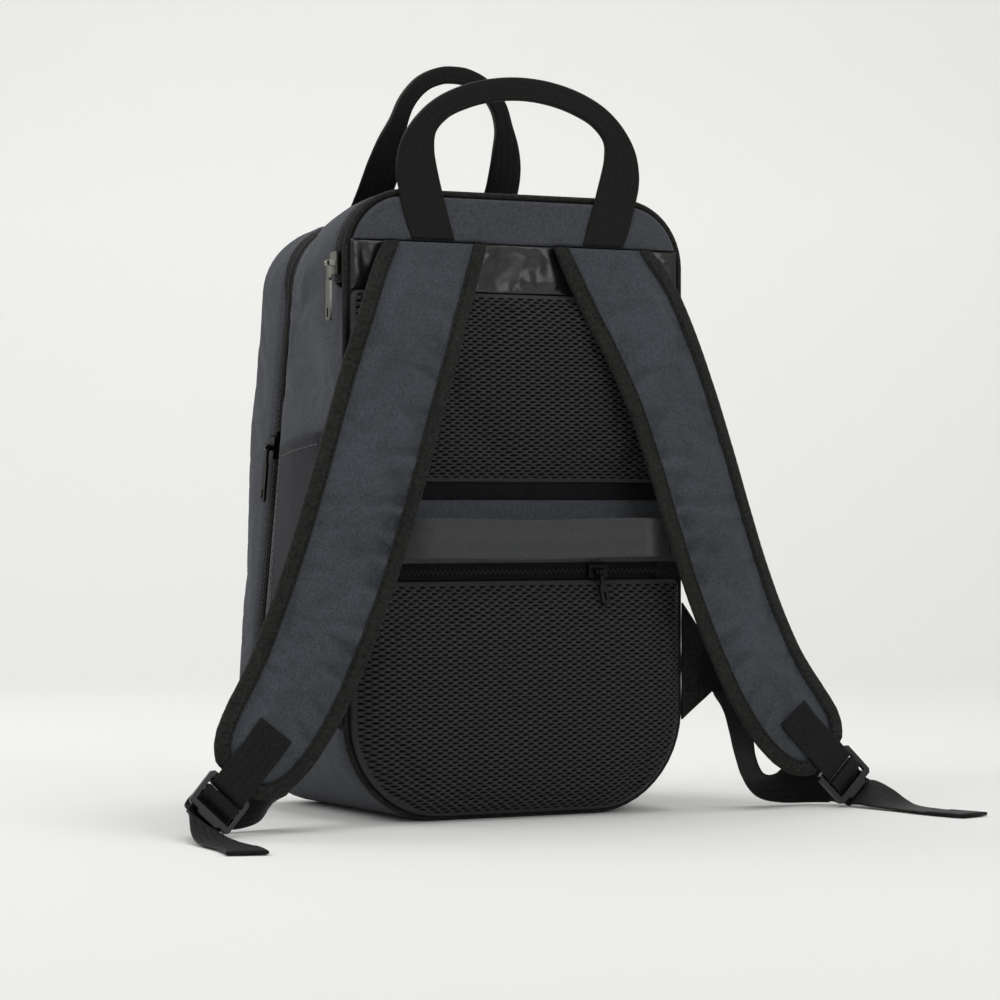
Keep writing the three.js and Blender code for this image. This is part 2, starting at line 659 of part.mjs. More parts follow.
// Binding tape around the strap's edge: down one side, round the end and up the other.
function strapBinding() {
  const path = [
    ...STRAP_STATIONS.map(({ at, half }) => ({ at, across: -half })),
    ...[...STRAP_STATIONS].reverse().map(({ at, half }) => ({ at, across: half })),
  ];
  const at = (i) => {
    const { at: share, across } = path[clamp(i, 0, path.length - 1)];
    return strapPoint(strapFrame(share), 0, across, 0);
  };
  const rings = path.map((stop, i) => {
    const frame = strapFrame(stop.at);
    const before = at(i).sub(at(i - 1)).normalize();
    const after = at(i + 1).sub(at(i)).normalize();
    const run = before.add(after).normalize();
    const atSeam = frame.across.clone().multiplyScalar(Math.sign(stop.across));
    const outwards = stop.at === 0 ? atSeam : vec(0, 0, 0).crossVectors(run, frame.out).normalize();
    const place = (distance, up) => at(i).addScaledVector(outwards, distance).addScaledVector(frame.out, up);
    return [
      place(GAP, BINDING.innerHalf), place(BINDING.width, BINDING.outerHalf),
      place(BINDING.width, -BINDING.outerHalf), place(GAP, -BINDING.innerHalf),
    ];
  });
  return skin(rings);
}

// A flat strip along stations that each give a centre, an across hint and two half sizes.
// A level station keeps its hint as it is, so that the strip is cut level there.
function strip(stations) {
  const rings = stations.map((station, i) => {
    const before = stations[Math.max(i - 1, 0)].centre;
    const after = stations[Math.min(i + 1, stations.length - 1)].centre;
    const run = after.clone().sub(before).normalize();
    const square = station.level ? 0 : -station.across.dot(run);
    const across = station.across.clone().addScaledVector(run, square).normalize();
    const face = vec(0, 0, 0).crossVectors(run, across);
    const corner = (w, t) => station.centre.clone()
      .addScaledVector(across, w * station.half)
      .addScaledVector(face, t * station.thick);
    return [corner(-1, 1), corner(1, 1), corner(1, -1), corner(-1, -1)];
  });
  return skin(rings);
}

// Webbing patch: lies on the strap's end, wraps the lock's first bar and ends behind it.
function strapPatch() {
  const flat = PATCH_FLAT.map(({ fromEnd, up }) => {
    const frame = strapFrame(1 + fromEnd / strapCurve.getLength());
    return strapPoint(frame, Math.max(fromEnd, 0), 0, up);
  });
  const loop = PATCH_LOOP.map(({ along, up }) => lockPoint(along, 0, up));
  const curve = new THREE.CatmullRomCurve3([...flat, ...loop]);
  const { across } = lockFrame;
  const thick = PATCH.thick / 2;
  return strip(curve.getPoints(PATCH_STATIONS).map((centre) => ({ centre, across, half: PATCH.half, thick })));
}

function ladderLock() {
  const { bars, half, slotHalf, tabHalf, tabEnd, thick } = LOCK;
  const corner = 2;
  const shape = new THREE.Shape();
  shape.moveTo(-half + corner, bars.firstLow);
  shape.lineTo(half - corner, bars.firstLow);
  shape.lineTo(half, bars.firstLow + corner);
  shape.lineTo(half, bars.thirdHigh - corner);
  shape.lineTo(half - corner, bars.thirdHigh);
  shape.lineTo(tabHalf, bars.thirdHigh);
  shape.lineTo(tabHalf - corner, tabEnd);
  shape.lineTo(-tabHalf + corner, tabEnd);
  shape.lineTo(-tabHalf, bars.thirdHigh);
  shape.lineTo(-half + corner, bars.thirdHigh);
  shape.lineTo(-half, bars.thirdHigh - corner);
  shape.lineTo(-half, bars.firstLow + corner);
  shape.closePath();
  [[bars.firstHigh, bars.secondLow], [bars.secondHigh, bars.thirdLow]].forEach(([low, high]) => {
    const slot = new THREE.Path();
    slot.moveTo(-slotHalf, low);
    slot.lineTo(-slotHalf, high);
    slot.lineTo(slotHalf, high);
    slot.lineTo(slotHalf, low);
    slot.closePath();
    shape.holes.push(slot);
  });
  const flat = new THREE.ExtrudeGeometry(shape, { depth: thick, bevelEnabled: false });
  const bare = flat.clone();
  bare.deleteAttribute('normal');
  bare.deleteAttribute('uv');
  const merged = mergeVertices(bare, 1e-4);
  const local = merged.attributes.position;
  const points = Array.from({ length: local.count }, (_, i) => (
    lockPoint(local.getY(i), local.getX(i), local.getZ(i) - thick / 2)
  ));
  return solidFrom(points, [...merged.index.array]);
}

// Adjusting webbing: one strip from the wing, through the lock, to its hemmed tail on the floor.
function adjusterWeb() {
  const toStop = ({ x, y, z, wx, wy, wz }) => ({ centre: vec(x, y, z), across: vec(wx, wy, wz) });
  const stops = [
    ...WEB_SLACK.map(toStop),
    ...WEB_IN_LOCK.map(({ along, up }) => ({ centre: lockPoint(along, 0, up), across: lockFrame.across })),
    ...WEB_TAIL.map(toStop),
  ];
  const route = new THREE.CatmullRomCurve3(stops.map(({ centre }) => centre));
  const hints = new THREE.CatmullRomCurve3(stops.map(({ across }) => across));
  const stations = Array.from({ length: WEB_STATIONS + 1 }, (_, i) => {
    const share = i / WEB_STATIONS;
    const hemmed = share > 1 - HEM.length;
    return {
      centre: route.getPoint(share),
      across: hints.getPoint(share),
      half: WEB.half,
      thick: (hemmed ? HEM.thick : WEB.thick) / 2,
    };
  });
  return strip(stations);
}

function sideWing() {
  const points = [
    { x: WING.seamX, z: WING.lowZ }, { x: WING.tipX, z: WING.tipLowZ },
    { x: WING.tipX, z: WING.tipHighZ }, { x: WING.seamX, z: WING.highZ },
  ];
  return plate(points, WING.far, WING.far - WING.near);
}

function addPair(name, geometry, material) {
  addMesh(`${name}_left`, mirrored(geometry), material);
  addMesh(`${name}_right`, geometry, material);
}

function shoulderStraps() {
  addPair('strap_pad', strapPad(), 'charcoal');
  addPair('strap_binding', strapBinding(), 'black');
  addPair('strap_patch', strapPatch(), 'webbing');
  addPair('ladder_lock', ladderLock(), 'plastic');
  addPair('side_wing', sideWing(), 'black');
  addPair('adjuster_web', adjusterWeb(), 'webbing');
}

// Both halves of a line that is given from its right end to the middle.
function bothHalves(rows) {
  return [...rows, ...rows.slice(0, -1).reverse().map((row) => ({ ...row, x: -row.x }))];
}

function luggageBand() {
  const rows = bothHalves(BAND_LINE);
  const curve = new THREE.CatmullRomCurve3(rows.map(({ x, y }) => vec(x, y, BAND.z)));
  const across = vec(0, 0, 1);
  return strip(curve.getPoints(BAND_STATIONS).map((centre) => ({ centre, across, half: BAND.half, thick: BAND.thick / 2 })));
}

// Handle in a plane across the bag, its webbing facing front and back all the way round.
function grabHandle(table) {
  const rows = bothHalves(table);
  const route = new THREE.CatmullRomCurve3(rows.map(({ x, y, z }) => vec(x, y, z)));
  const sizes = new THREE.CatmullRomCurve3(rows.map(({ half, thick }) => vec(half, thick, 0)));
  const stations = Array.from({ length: HANDLE_STATIONS + 1 }, (_, i) => {
    const share = i / HANDLE_STATIONS;
    const run = route.getTangent(share);
    const size = sizes.getPoint(share);
    const level = i === 0 || i === HANDLE_STATIONS;
    return {
      level,
      centre: route.getPoint(share),
      across: level ? vec(Math.sign(share - 0.5), 0, 0) : vec(0, 0, 0).crossVectors(run, vec(0, 1, 0)),
      half: size.x,
      thick: size.y,
    };
  });
  return strip(stations);
}

// A box between two corners.
function block(low, high) {
  const size = high.clone().sub(low);
  const geometry = new THREE.BoxGeometry(size.x, size.y, size.z);
  const middle = low.clone().add(high).multiplyScalar(0.5);
  return geometry.translate(middle.x, middle.y, middle.z);
}

// Slider lying on a zip: x along its bar, y out from the zip, z up; its base starts at y = 0.
function sliderBody(lying) {
  const { thick, postGap, postThick, postHalf, postTop, postSink, barRadius, barRise } = SLIDER;
  const [wide, tall] = lying ? [SLIDER.length, SLIDER.width] : [SLIDER.width, SLIDER.length];
  const base = block(vec(-wide / 2, 0, -tall / 2), vec(wide / 2, thick, tall / 2));
  const top = thick + barRise + barRadius + postTop;
  const posts = [-1, 1].map((end) => {
    const [a, b] = [end * postGap, end * (postGap + postThick)];
    return block(vec(Math.min(a, b), thick - postSink, -postHalf), vec(Math.max(a, b), top, postHalf));
  });
  const bar = new THREE.CylinderGeometry(barRadius, barRadius, 2 * postGap + postThick, FACETS);
  bar.rotateZ(Math.PI / 2).translate(0, thick + barRise, 0);
  return joined([base, ...posts, bar]);
}

// Puller hanging from its eye: x along the bar, z down the blade, its eye at the origin.
function pullerBlade(length) {
  const { eyeOuter, eyeInner, eyeHalf, neckHalf, neckLength, bladeHalf, endHalf, thick } = PULLER;
  const { bevel, flare, root, slotHalf, slotFromEnd, slotLength } = PULLER;
  const top = -(eyeInner + root);
  const eyeShape = new THREE.Shape().absarc(0, 0, eyeOuter, 0, 2 * Math.PI);
  eyeShape.holes.push(new THREE.Path().absarc(0, 0, eyeInner, 0, 2 * Math.PI, true));
  const eye = new THREE.ExtrudeGeometry(eyeShape, { depth: 2 * eyeHalf, bevelEnabled: false, curveSegments: FACETS });
  eye.translate(0, 0, -eyeHalf).rotateY(Math.PI / 2);
  const side = [
    { x: neckHalf, z: top }, { x: neckHalf, z: -neckLength }, { x: bladeHalf, z: -neckLength - flare },
    { x: endHalf, z: bevel - length }, { x: endHalf - bevel, z: -length },
  ];
  const bladeShape = new THREE.Shape([
    ...side.map(({ x, z }) => new THREE.Vector2(-x, z)),
    ...[...side].reverse().map(({ x, z }) => new THREE.Vector2(x, z)),
  ]);
  const slotLow = slotFromEnd - length;
  const slotHigh = slotLow + slotLength;
  bladeShape.holes.push(new THREE.Path([
    new THREE.Vector2(-slotHalf, slotHigh), new THREE.Vector2(slotHalf, slotHigh),
    new THREE.Vector2(slotHalf, slotLow), new THREE.Vector2(-slotHalf, slotLow),
  ]));
  const blade = new THREE.ExtrudeGeometry(bladeShape, { depth: thick, bevelEnabled: false });
  blade.translate(0, 0, -thick / 2).rotateX(Math.PI / 2);
  return joined([eye, blade]);
}

// Each zip pull sits at a point on its tape, faces outwards and hangs at a lean from the wall.
function zipPull(name, { x, y, z, yaw, tilt, lean, length, lying }) {
  const pivot = new THREE.Group();
  pivot.position.set(x, y, z);
  pivot.rotation.set(0, tilt, yaw, 'ZYX');
  const metal = () => new THREE.MeshStandardMaterial(MATERIALS.metal);
  const slider = new THREE.Mesh(sliderBody(lying), metal());
  slider.name = `${name}_slider`;
  const puller = new THREE.Mesh(pullerBlade(length), metal());
  puller.name = `${name}_puller`;
  puller.position.y = SLIDER.thick + SLIDER.barRise;
  puller.rotation.x = lean;
  pivot.add(slider, puller);
  bag.add(pivot);
}

addMesh('main_gusset', mainGusset(), 'charcoal');
addMesh('front_compartment', frontCompartment(), 'charcoal');
zipTapes();
backPanelPieces();
addMesh('side_pocket', sidePocket(), 'pocket');
shoulderStraps();
addMesh('luggage_band', luggageBand(), 'webbing');
addMesh('back_handle', grabHandle(BACK_HANDLE), 'webbing');
addMesh('front_handle', grabHandle(FRONT_HANDLE), 'webbing');
PULLS.forEach(({ name, ...place }) => zipPull(name, place));

export default bag;
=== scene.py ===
"""Looks of a cabin backpack that stands on its base, seen from the padded back.
Tables are in millimetres, in the frame of the model: -Y out of the back, +Z up."""
import math

import bmesh
import bpy
import numpy as np
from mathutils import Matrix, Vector, noise


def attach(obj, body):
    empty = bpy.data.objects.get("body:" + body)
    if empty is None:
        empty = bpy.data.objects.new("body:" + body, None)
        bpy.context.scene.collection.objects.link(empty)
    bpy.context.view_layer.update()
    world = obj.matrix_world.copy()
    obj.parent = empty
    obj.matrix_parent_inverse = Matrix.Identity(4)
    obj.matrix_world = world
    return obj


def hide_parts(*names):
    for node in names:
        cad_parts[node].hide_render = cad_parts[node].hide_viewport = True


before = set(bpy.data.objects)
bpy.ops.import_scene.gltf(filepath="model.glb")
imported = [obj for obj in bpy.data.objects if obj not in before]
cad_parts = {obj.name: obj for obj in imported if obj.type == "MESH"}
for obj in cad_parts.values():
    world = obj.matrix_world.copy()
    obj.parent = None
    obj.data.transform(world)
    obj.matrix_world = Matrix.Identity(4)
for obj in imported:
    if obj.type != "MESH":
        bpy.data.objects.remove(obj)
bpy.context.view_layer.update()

MM = 0.001
BAG = "bag"
GAP = 0.3

# Body: a box of cloth, taller at the back, whose front face leans back towards the top.
BODY = dict(back=-86.0, half=122.0, front_half=119.5, high=398.0, front_high=382.0,
            top_r=42.0, low_r=64.0, wall=2.0)
FACE = dict(depth=184.0, belly=60.0, fall=34.0, over=275.0)
# Zips: depth from the back panel, half width and the heights where they end; below that the wall is a seam.
MAIN_ZIP = dict(near=4.1, far=15.7, end=338.4, seam=3.8)
FRONT_ZIP = dict(depth=160.7, slope=0.2077, half=3.5, end=247.0, side_low=73.0, side_gap=1.5, seam_half=0.02)
ZIP_FADE = 2.0
# Tape of the main zip: share of its width and rise over the wall.
MAIN_TAPE = [(0, -0.2), (0.06, 0.5), (0.42, 0.35), (0.5, 0.1), (0.58, 0.35), (0.94, 0.5), (1, -0.2),
             (1, -1.4), (0, -1.4)]
# Tape of the front zip, and what it gains where it opens out over the top corners.
FRONT_TAPE = dict(half=4.1, edge=-0.9, groove=-1.25, lip=0.5, under=-3.0)
OPEN_TAPE = dict(half=8.6, edge=3.1, groove=2.6, low=322, high=372)
# Zip chain, and one tooth of it: places along, across and up, and its faces.
CHAIN = dict(wide=3.0, pitch=1.7, tooth=0.34, shift=0.22, offset=0.05)
TOOTH = [(-0.38, -1, 0), (0.38, -1, 0), (0.38, 1, 0), (-0.38, 1, 0),
         (-0.22, -0.8, 1), (0.22, -0.8, 1), (0.22, 0.8, 1), (-0.22, 0.8, 1)]
TOOTH_FACES = [(0, 1, 2, 3), (4, 5, 6, 7), (0, 1, 5, 4), (1, 2, 6, 5), (2, 3, 7, 6), (3, 0, 4, 7)]
# Swell of the main wall and of the front compartment's side, by share of their depth.
GUSSET_SWELL = [(0, 0), (0.08, 0.6), (0.3, 2.4), (0.6, 2.8), (0.9, 1.4), (1, -1.5)]
SHELL_SWELL = [(0, -1.5), (0.12, 1), (0.5, 1.4), (1, -0.5)]
# Rounded edge of the front face: inset from the outline and drop behind the face.
SHELL_EDGE = [(0, 18), (5, 10), (13, 3.8), (25, 0.8)]
SHELL_FACE_STEPS = 16
SEAM_TUCK = 0.8
# Where the walls go from held to loose or from flat to folded: shares, heights and rows from the rim.
FLOOR_HELD = (4, 40)
MAIN_FADES = dict(tuck=(0, 0.03), sewn=(0.01, 0.05), folds=(0.0, 0.2), folds_high=(20, 90), band=(0.65, 0.75))
FRONT_FADES = dict(rim=(2, 6), folds=(4, 14), folds_high=(10, 70), middle=(-11, -5))
POCKET_FADES = dict(side=(-8, -2), high=25, near=0.1)
# Folds in the walls: size across, depth and seed.
MAIN_FOLDS = dict(size=55.0, depth=1.8, seed=1)
FRONT_FOLDS = dict(size=80.0, depth=3.0, seed=2)
# Cloth simulation: slack, pressure and furthest move of each piece, then the settings that all share.
MAIN_SETTLING = dict(slack=0.012, pressure=0.15, cap=3.5)
FRONT_SETTLING = dict(slack=0.008, pressure=0.15, cap=4.0)
PAD_SETTLING = dict(slack=0.02, pressure=0.3, cap=3.0)
STRAP_SETTLING = dict(slack=0.02, pressure=1.2, cap=2.2)
CLOTH = dict(quality=6, mass=0.15, tension_stiffness=12, compression_stiffness=12, shear_stiffness=6,
             bending_stiffness=0.4, vertex_group_mass="hold", use_pressure=True)
CLOTH_FRAMES = 20
# Side pocket, between two shares of the left wall's depth; its top edge slants and its mouth gapes.
POCKET = dict(near=0.21, far=0.9, low=73.0, high=247.0, slant=9.0, lift=0.45, thick=1.4, gape=3.0,
              rim=0.4, dip=0.2, thread=0.15)
POCKET_FOLDS = dict(size=40.0, depth=1.6, seed=9)

PIPING = dict(radius=1.9, depth=1.6, sides=10)
# Back panel: depth from its outer face and tuck of its edge, from the inside out.
BACK_PLATE = [(3.0, 0.6), (2.4, 0.0), (0.6, 0.0), (0.0, 0.6)]
# Pieces sewn on the back, with rounded corners where a radius is given.
SEWN_HALF, LEAST_RISE = 119.2, 0.3
UPPER_PAD = dict(half=SEWN_HALF, low=215.0, high=335.0, low_r=5.0, top_r=5.0)
LOWER_PAD = dict(half=SEWN_HALF, low=3.0, high=151.6, low_r=62.4, top_r=5.0)
YOKE = dict(half=SEWN_HALF, low=367.3, high=395.2, top_r=39.2)
SATIN_BAND = dict(half=SEWN_HALF, low=335.4, high=367.0)
PAD_BINDING = dict(half=SEWN_HALF, low=203.8, high=214.6)
MIDDLE = dict(half=SEWN_HALF, low=163.2, high=203.5)
BACK_ZIP = dict(half=105.0, low=152.1, high=162.9, chain_end=2.0, chain_out=1.6)
# Back pads: height by the distance from the sewn edge, and the holes of their mesh.
PAD_CROWN = [(0, 0.16), (2.5, 0.4), (7, 0.66), (14, 0.85), (28, 0.97), (46, 1), (200, 1.02)]
MESH_HOLES = dict(across=7.2, rows=2.0, long=2.8, tall=1.05, deep=1.3)

# Middle line of the right shoulder strap: x, y, z and how far its outer edge turns back in degrees.
STRAP_LINE = [
    (61, -90.1, 366.4, 0), (71.5, -94.5, 345, 0), (85, -103.5, 313, 4), (101, -109, 272, 8),
    (115, -112, 230, 9), (128, -113, 190, 9), (141.5, -113.5, 152, 9), (156.5, -114.5, 116, 9),
    (172, -116, 85, 8), (190, -118.5, 59, 6), (209, -122, 39, 4),
]
# Strap padding by share of its length: half width and half thickness.
STRAP_SIZES = [
    (0, 29, 2.2), (0.05, 28.5, 2.8), (0.1, 28.5, 4), (0.17, 28.5, 4.4), (0.25, 28.5, 4.5), (0.49, 28.5, 4.5),
    (0.57, 28.3, 4.5), (0.65, 28, 4.5), (0.73, 27.6, 4.5), (0.8, 27.2, 4.4), (0.86, 26.8, 4),
    (0.91, 26.2, 3.4), (0.945, 24.6, 3), (0.97, 22.2, 2.7), (0.988, 18.6, 2.5), (1, 14, 2.4),
]
SEAM_SHARE = 0.12
# Padding across the strap: height of its edges as a share of the crown, and where it falls to that.
CROWN = dict(edge=0.42, full=0.45, fallen=0.88, end_fall=0.4)
# Soft puckers along the strap's inner and outer edge: side, depth and seed.
STRAP_PUCKERS = [(-1, 4.6, 3.0), (1, 2.2, 8.0)]
PUCKER = dict(slant=5.0, size=22.0, stretch=0.7, sharp=3.0)
# Creases from the strap's inner edge: share of its length, depth, and reach in half widths.
STRAP_CREASES = [
    (0.30, 2.0, 0.8), (0.375, 3.4, 1.2), (0.415, 2.4, 0.9), (0.462, 4.2, 1.5), (0.50, 2.4, 0.9),
    (0.55, 4.0, 1.5), (0.61, 2.2, 0.9), (0.68, 2.8, 1.2), (0.76, 1.8, 0.8),
]
CREASE = dict(half=3.4, slant=11.0, start=0.84, roll=0.45, apart=7.5, round=4.5)
# Folded binding tape: distance out from the padding's edge and height, outside and then inside.
BINDING_OUTSIDE = [(-2.4, 2.75), (-0.8, 3.0), (2.4, 2.7), (5.6, 2.2), (7.2, 1.5), (7.8, 0)]
BINDING_INSIDE = [(-2.4, 2.05), (2.4, 1.95), (6.2, 1.0), (7.0, 0)]
BINDING_SEAM = dict(inset=0.8, rise=3.0, pitch=3.4, pucker=0.07)

# Right adjusting webbing: place and the direction across its width.
WEB_HALF, WEB_THICK, WEB_STATIONS = 12.5, 0.7, 241
WEB_SLACK = [
    (138, -87.2, 92, 0.2, 0, 0.98), (148, -87.3, 90, 0.25, 0, 0.97), (156, -88.6, 85, 0.35, -0.02, 0.9),
    (161.5, -90.2, 76, 0.4, -0.45, 0.6), (164.5, -91.4, 63, 0.25, -0.95, 0.25), (166, -92.8, 49, 0.1, -1, 0),
    (168, -94.4, 34, 0, -1, 0.05), (173, -96, 21, 0, -0.97, 0.2), (183.5, -96.5, 14.6, 0, -0.7, 0.7),
    (198, -95.5, 13.8, 0, -0.25, 1), (213, -95.5, 13.8, 0, 0, 1), (225, -99.5, 13.8, 0.1, 0.05, 1),
    (231, -106.5, 13.4, 0.35, 0.1, 0.93),
]
# In the lock: distance along from its first bar, and height over its middle.
WEB_IN_LOCK = [
    (22, -12.6), (23.6, -8.8), (22, -5.6), (17, -4.5), (10.5, -4.3), (7.2, -2.6), (6.4, 0), (7, 2.1),
    (9, 2.85), (11.6, 2.85), (13.6, 2.1), (14.7, 0.2), (15.9, -1.8), (18.2, -2.8), (21.5, -2.9), (25, -2.9),
]
WEB_TAIL = [
    (237.4, -126.2, 9.5, 0.75, 0.07, 0.64), (237.9, -129.4, 9.7, 0.78, 0.06, 0.6),
    (238.6, -133.5, 9.4, 0.82, 0.05, 0.55), (239.8, -139.2, 8.5, 0.88, 0.05, 0.46),
    (241.8, -146.2, 6.6, 0.94, 0.05, 0.33), (243.6, -154, 4.3, 0.99, 0.05, 0.15),
    (245, -162.5, 2.6, 1, 0.03, 0.03), (246.2, -172, 1.9, 1, 0.02, 0), (247, -184, 1.8, 1, 0.02, 0),
    (248, -199, 1.8, 1, 0.1, 0), (251, -216, 1.9, 1, 0.18, 0), (255, -231, 1.9, 1, 0.22, 0),
]
HEM_LENGTH, HEM_THICK = 30.0, 1.2
LOCK_FROM_END = 14.0
# Webbing patch on the strap's end, then its loop round the lock's first bar: distance along and height.
PATCH = dict(half=12.5, thick=0.8, stations=90, sewn=slice(3, 36), margin=2.5)
PATCH_FLAT = [(-33, 5), (-22, 4.6), (-11, 4.2), (0, 3.9), (7, 3.6)]
PATCH_LOOP = [(-2.5, 3.3), (1.4, 3.1), (3.4, 2.3), (4.1, 0), (3.4, -2.3), (1.4, -3.1), (-2.2, -3.2)]

# Right half of the luggage band and of the two handles: place, half width and half thickness.
BAND_Z, BAND_HALF, BAND_THICK = 179.0, 12.5, 0.7
BAND_WAVE = dict(high=0.8, turn=9)
BAND_LINE = [
    (112, -88.7), (106, -89.2), (101.5, -92), (95.5, -98.5), (89, -105.8), (83, -112), (77, -115.9),
    (66, -117.5), (30, -118), (0, -118),
]
BACK_HANDLE = [
    (62, -89.1, 368.2, 15, 0.9), (67, -89.1, 383, 15, 0.9), (71.5, -89.2, 399, 15, 0.9),
    (74.5, -89.6, 413, 14.5, 1), (74, -90.2, 427, 12, 1.6), (69, -90.8, 440, 8.5, 2.2),
    (58, -91.2, 451, 7.5, 2.4), (42, -91.5, 459, 7.5, 2.4), (22, -91.6, 464.5, 7.5, 2.4),
    (0, -91.7, 466.5, 7.5, 2.4),
]
FRONT_HANDLE = [
    (46, 64, 340, 13.5, 0.9), (46, 60.1, 354, 13.5, 0.9), (46, 54.3, 368, 13.5, 0.9),
    (46.3, 47, 381, 13.5, 0.9), (46.8, 36, 396, 13.5, 0.9), (46.8, 22, 411, 13, 1),
    (45.2, 13.5, 426, 12.2, 1.2), (42.8, 8.5, 440, 9.8, 1.8), (39.5, 5, 453, 6.5, 2.4),
    (34, 3, 467, 5.8, 2.6), (23, 2.2, 479, 5.8, 2.6), (9, 2, 485, 5.8, 2.6), (0, 2, 485.8, 5.8, 2.6),
]
# Stations along a handle, those of its folded grip, and those that turn level at each end.
HANDLE_STATIONS, HANDLE_GRIP, HANDLE_LEVEL = 180, slice(50, 130), 12
GRIP_MARGIN = 2.2
WING = dict(seam=124.4, tip=147.5, low=59.0, high=136.0, tip_low=77.0, tip_high=105.0, near=-86.0, far=-84.2)
WING_FOLDS = dict(size=16.0, depth=0.9, seed=12)

# Section of a flat band: share of its half width and of its half thickness, from edge to edge.
BAND_SECTION = [(-1, 0.3), (-0.97, 0.8), (-0.88, 1), (-0.45, 1), (0, 1), (0.45, 1), (0.88, 1), (0.97, 0.8),
                (1, 0.3)]
# One stitch: share of its length and of its radius, from end to end.
STITCH_ENDS = [(0.0, 0.35), (0.2, 1.0), (0.8, 1.0), (1.0, 0.35)]
STITCH_SIDES, STITCH_SINK = 6, 0.35

# Camera, at the height and angle of the photograph.
CAMERA = dict(place=(-1069.9, -2033.5, 199), yaw=28.5, lens=124.6, sensor=36.0, lift=0.007)
YAW = math.radians(CAMERA["yaw"])
# Backdrop in metres: a floor that curves up into a wall behind the bag, darker at the floor.
PAPER = (236, 236, 234)
BACKDROP = dict(wide=30.0, flat=1.6, curve=0.9, high=4.5, pale_from=0.6, floor_shade=0.87)
# Lamps in metres: place to the right of, behind and above the bag, how far back they aim, size and power.
LAMPS = [
    ("key", -1.7, -1.3, 1.9, 0.0, 1.4, 17.5), ("rim", -1.9, 0.7, 1.2, 0.0, 1.2, 11.0),
    ("fill", 1.5, -1.7, 1.3, 0.0, 1.6, 13.5), ("top", 0.1, 0.1, 2.4, 0.0, 1.6, 12.0),
    ("wall", 0.0, 1.0, 3.0, 1.8, 2.6, 28.0),
]
LAMP_AIM_HIGH, SKY_STRENGTH = 0.22, 0.5


def smooth(x, low, high):
    """0 below low, 1 above high, and a soft step between."""
    t = np.clip((x - low) / (high - low), 0, 1)
    return t * t * (3 - 2 * t)


def unit(vectors):
    """The same directions with length 1."""
    vectors = np.asarray(vectors, float)
    return vectors / np.maximum(np.linalg.norm(vectors, axis=-1, keepdims=True), 1e-9)


def read(table, share, column=1):
    """A column of a table at a share between its rows."""
    return np.interp(share, [row[0] for row in table], [row[column] for row in table])


def catmull(points, shares):
    """Centripetal Catmull-Rom curve through the points, at shares 0 to 1 counted by point."""
    p = np.asarray(points, float)
    p = np.vstack([2 * p[0] - p[1], p, 2 * p[-1] - p[-2]])
    last = len(p) - 4
    place = np.clip(np.asarray(shares, float), 0, 1) * (last + 1)
    seg = np.minimum(place.astype(int), last)
    t = (place - seg)[:, None]
    a, b, c, d = p[seg], p[seg + 1], p[seg + 2], p[seg + 3]
    gap = lambda u, v: np.maximum(np.linalg.norm(v - u, axis=1, keepdims=True), 1e-6) ** 0.5
    ab, bc, cd = gap(a, b), gap(b, c), gap(c, d)
    start = ((b - a) / ab - (c - a) / (ab + bc) + (c - b) / bc) * bc
    end = ((c - b) / bc - (d - b) / (bc + cd) + (d - c) / cd) * bc
    cube = 2 * b - 2 * c + start + end
    square = -3 * b + 3 * c - 2 * start - end
    return ((cube * t + square) * t + start) * t + b


def lengths(points):
    """Distance along a line at each of its points."""
    steps = np.linalg.norm(np.diff(points, axis=0), axis=1)
    return np.concatenate([[0], np.cumsum(steps)])


def even(points, count):
    """The same line with its points evenly spaced."""
    along = lengths(points)
    want = np.linspace(0, along[-1], count)
    return np.stack([np.interp(want, along, points[:, k]) for k in range(points.shape[1])], axis=1)


def grid_faces(rows, cols, loop_rows=False, loop_cols=False):
    """Faces of a grid of points, closed on itself either way where asked."""
    r = np.arange(rows if loop_rows else rows - 1)[:, None]
    c = np.arange(cols if loop_cols else cols - 1)[None, :]
    r2, c2 = (r + 1) % rows, (c + 1) % cols
    quads = np.stack([r * cols + c, r * cols + c2, r2 * cols + c2, r2 * cols + c], axis=-1)
    return [tuple(q) for q in quads.reshape(-1, 4).tolist()]


def capped_faces(rows, cols):
    """Faces of a tube of closed rings, with one face over each end."""
    ends = [tuple(range(cols)), tuple(range((rows - 1) * cols, rows * cols))]
    return grid_faces(rows, cols, loop_cols=True) + ends


def slab_faces(rows, cols):
    """Faces of a slab whose rings run along one side and back along the other, with quads over its ends."""
    faces = grid_faces(rows, cols, loop_cols=True)
    for base in (0, (rows - 1) * cols):
        faces += [(base + i, base + i + 1, base + cols - 2 - i, base + cols - 1 - i)
                  for i in range(cols // 2 - 1)]
    return faces


def rumple(points, size, depth, seed, stretch=1):
    """How far each point rises or falls in soft folds about size across, taller where stretch is under 1."""
    offset = Vector((seed * 17.3, seed * 5.1, seed * 9.7))
    return np.array([noise.noise(Vector(p) / size + offset) for p in points * (1, 1, stretch)]) * depth


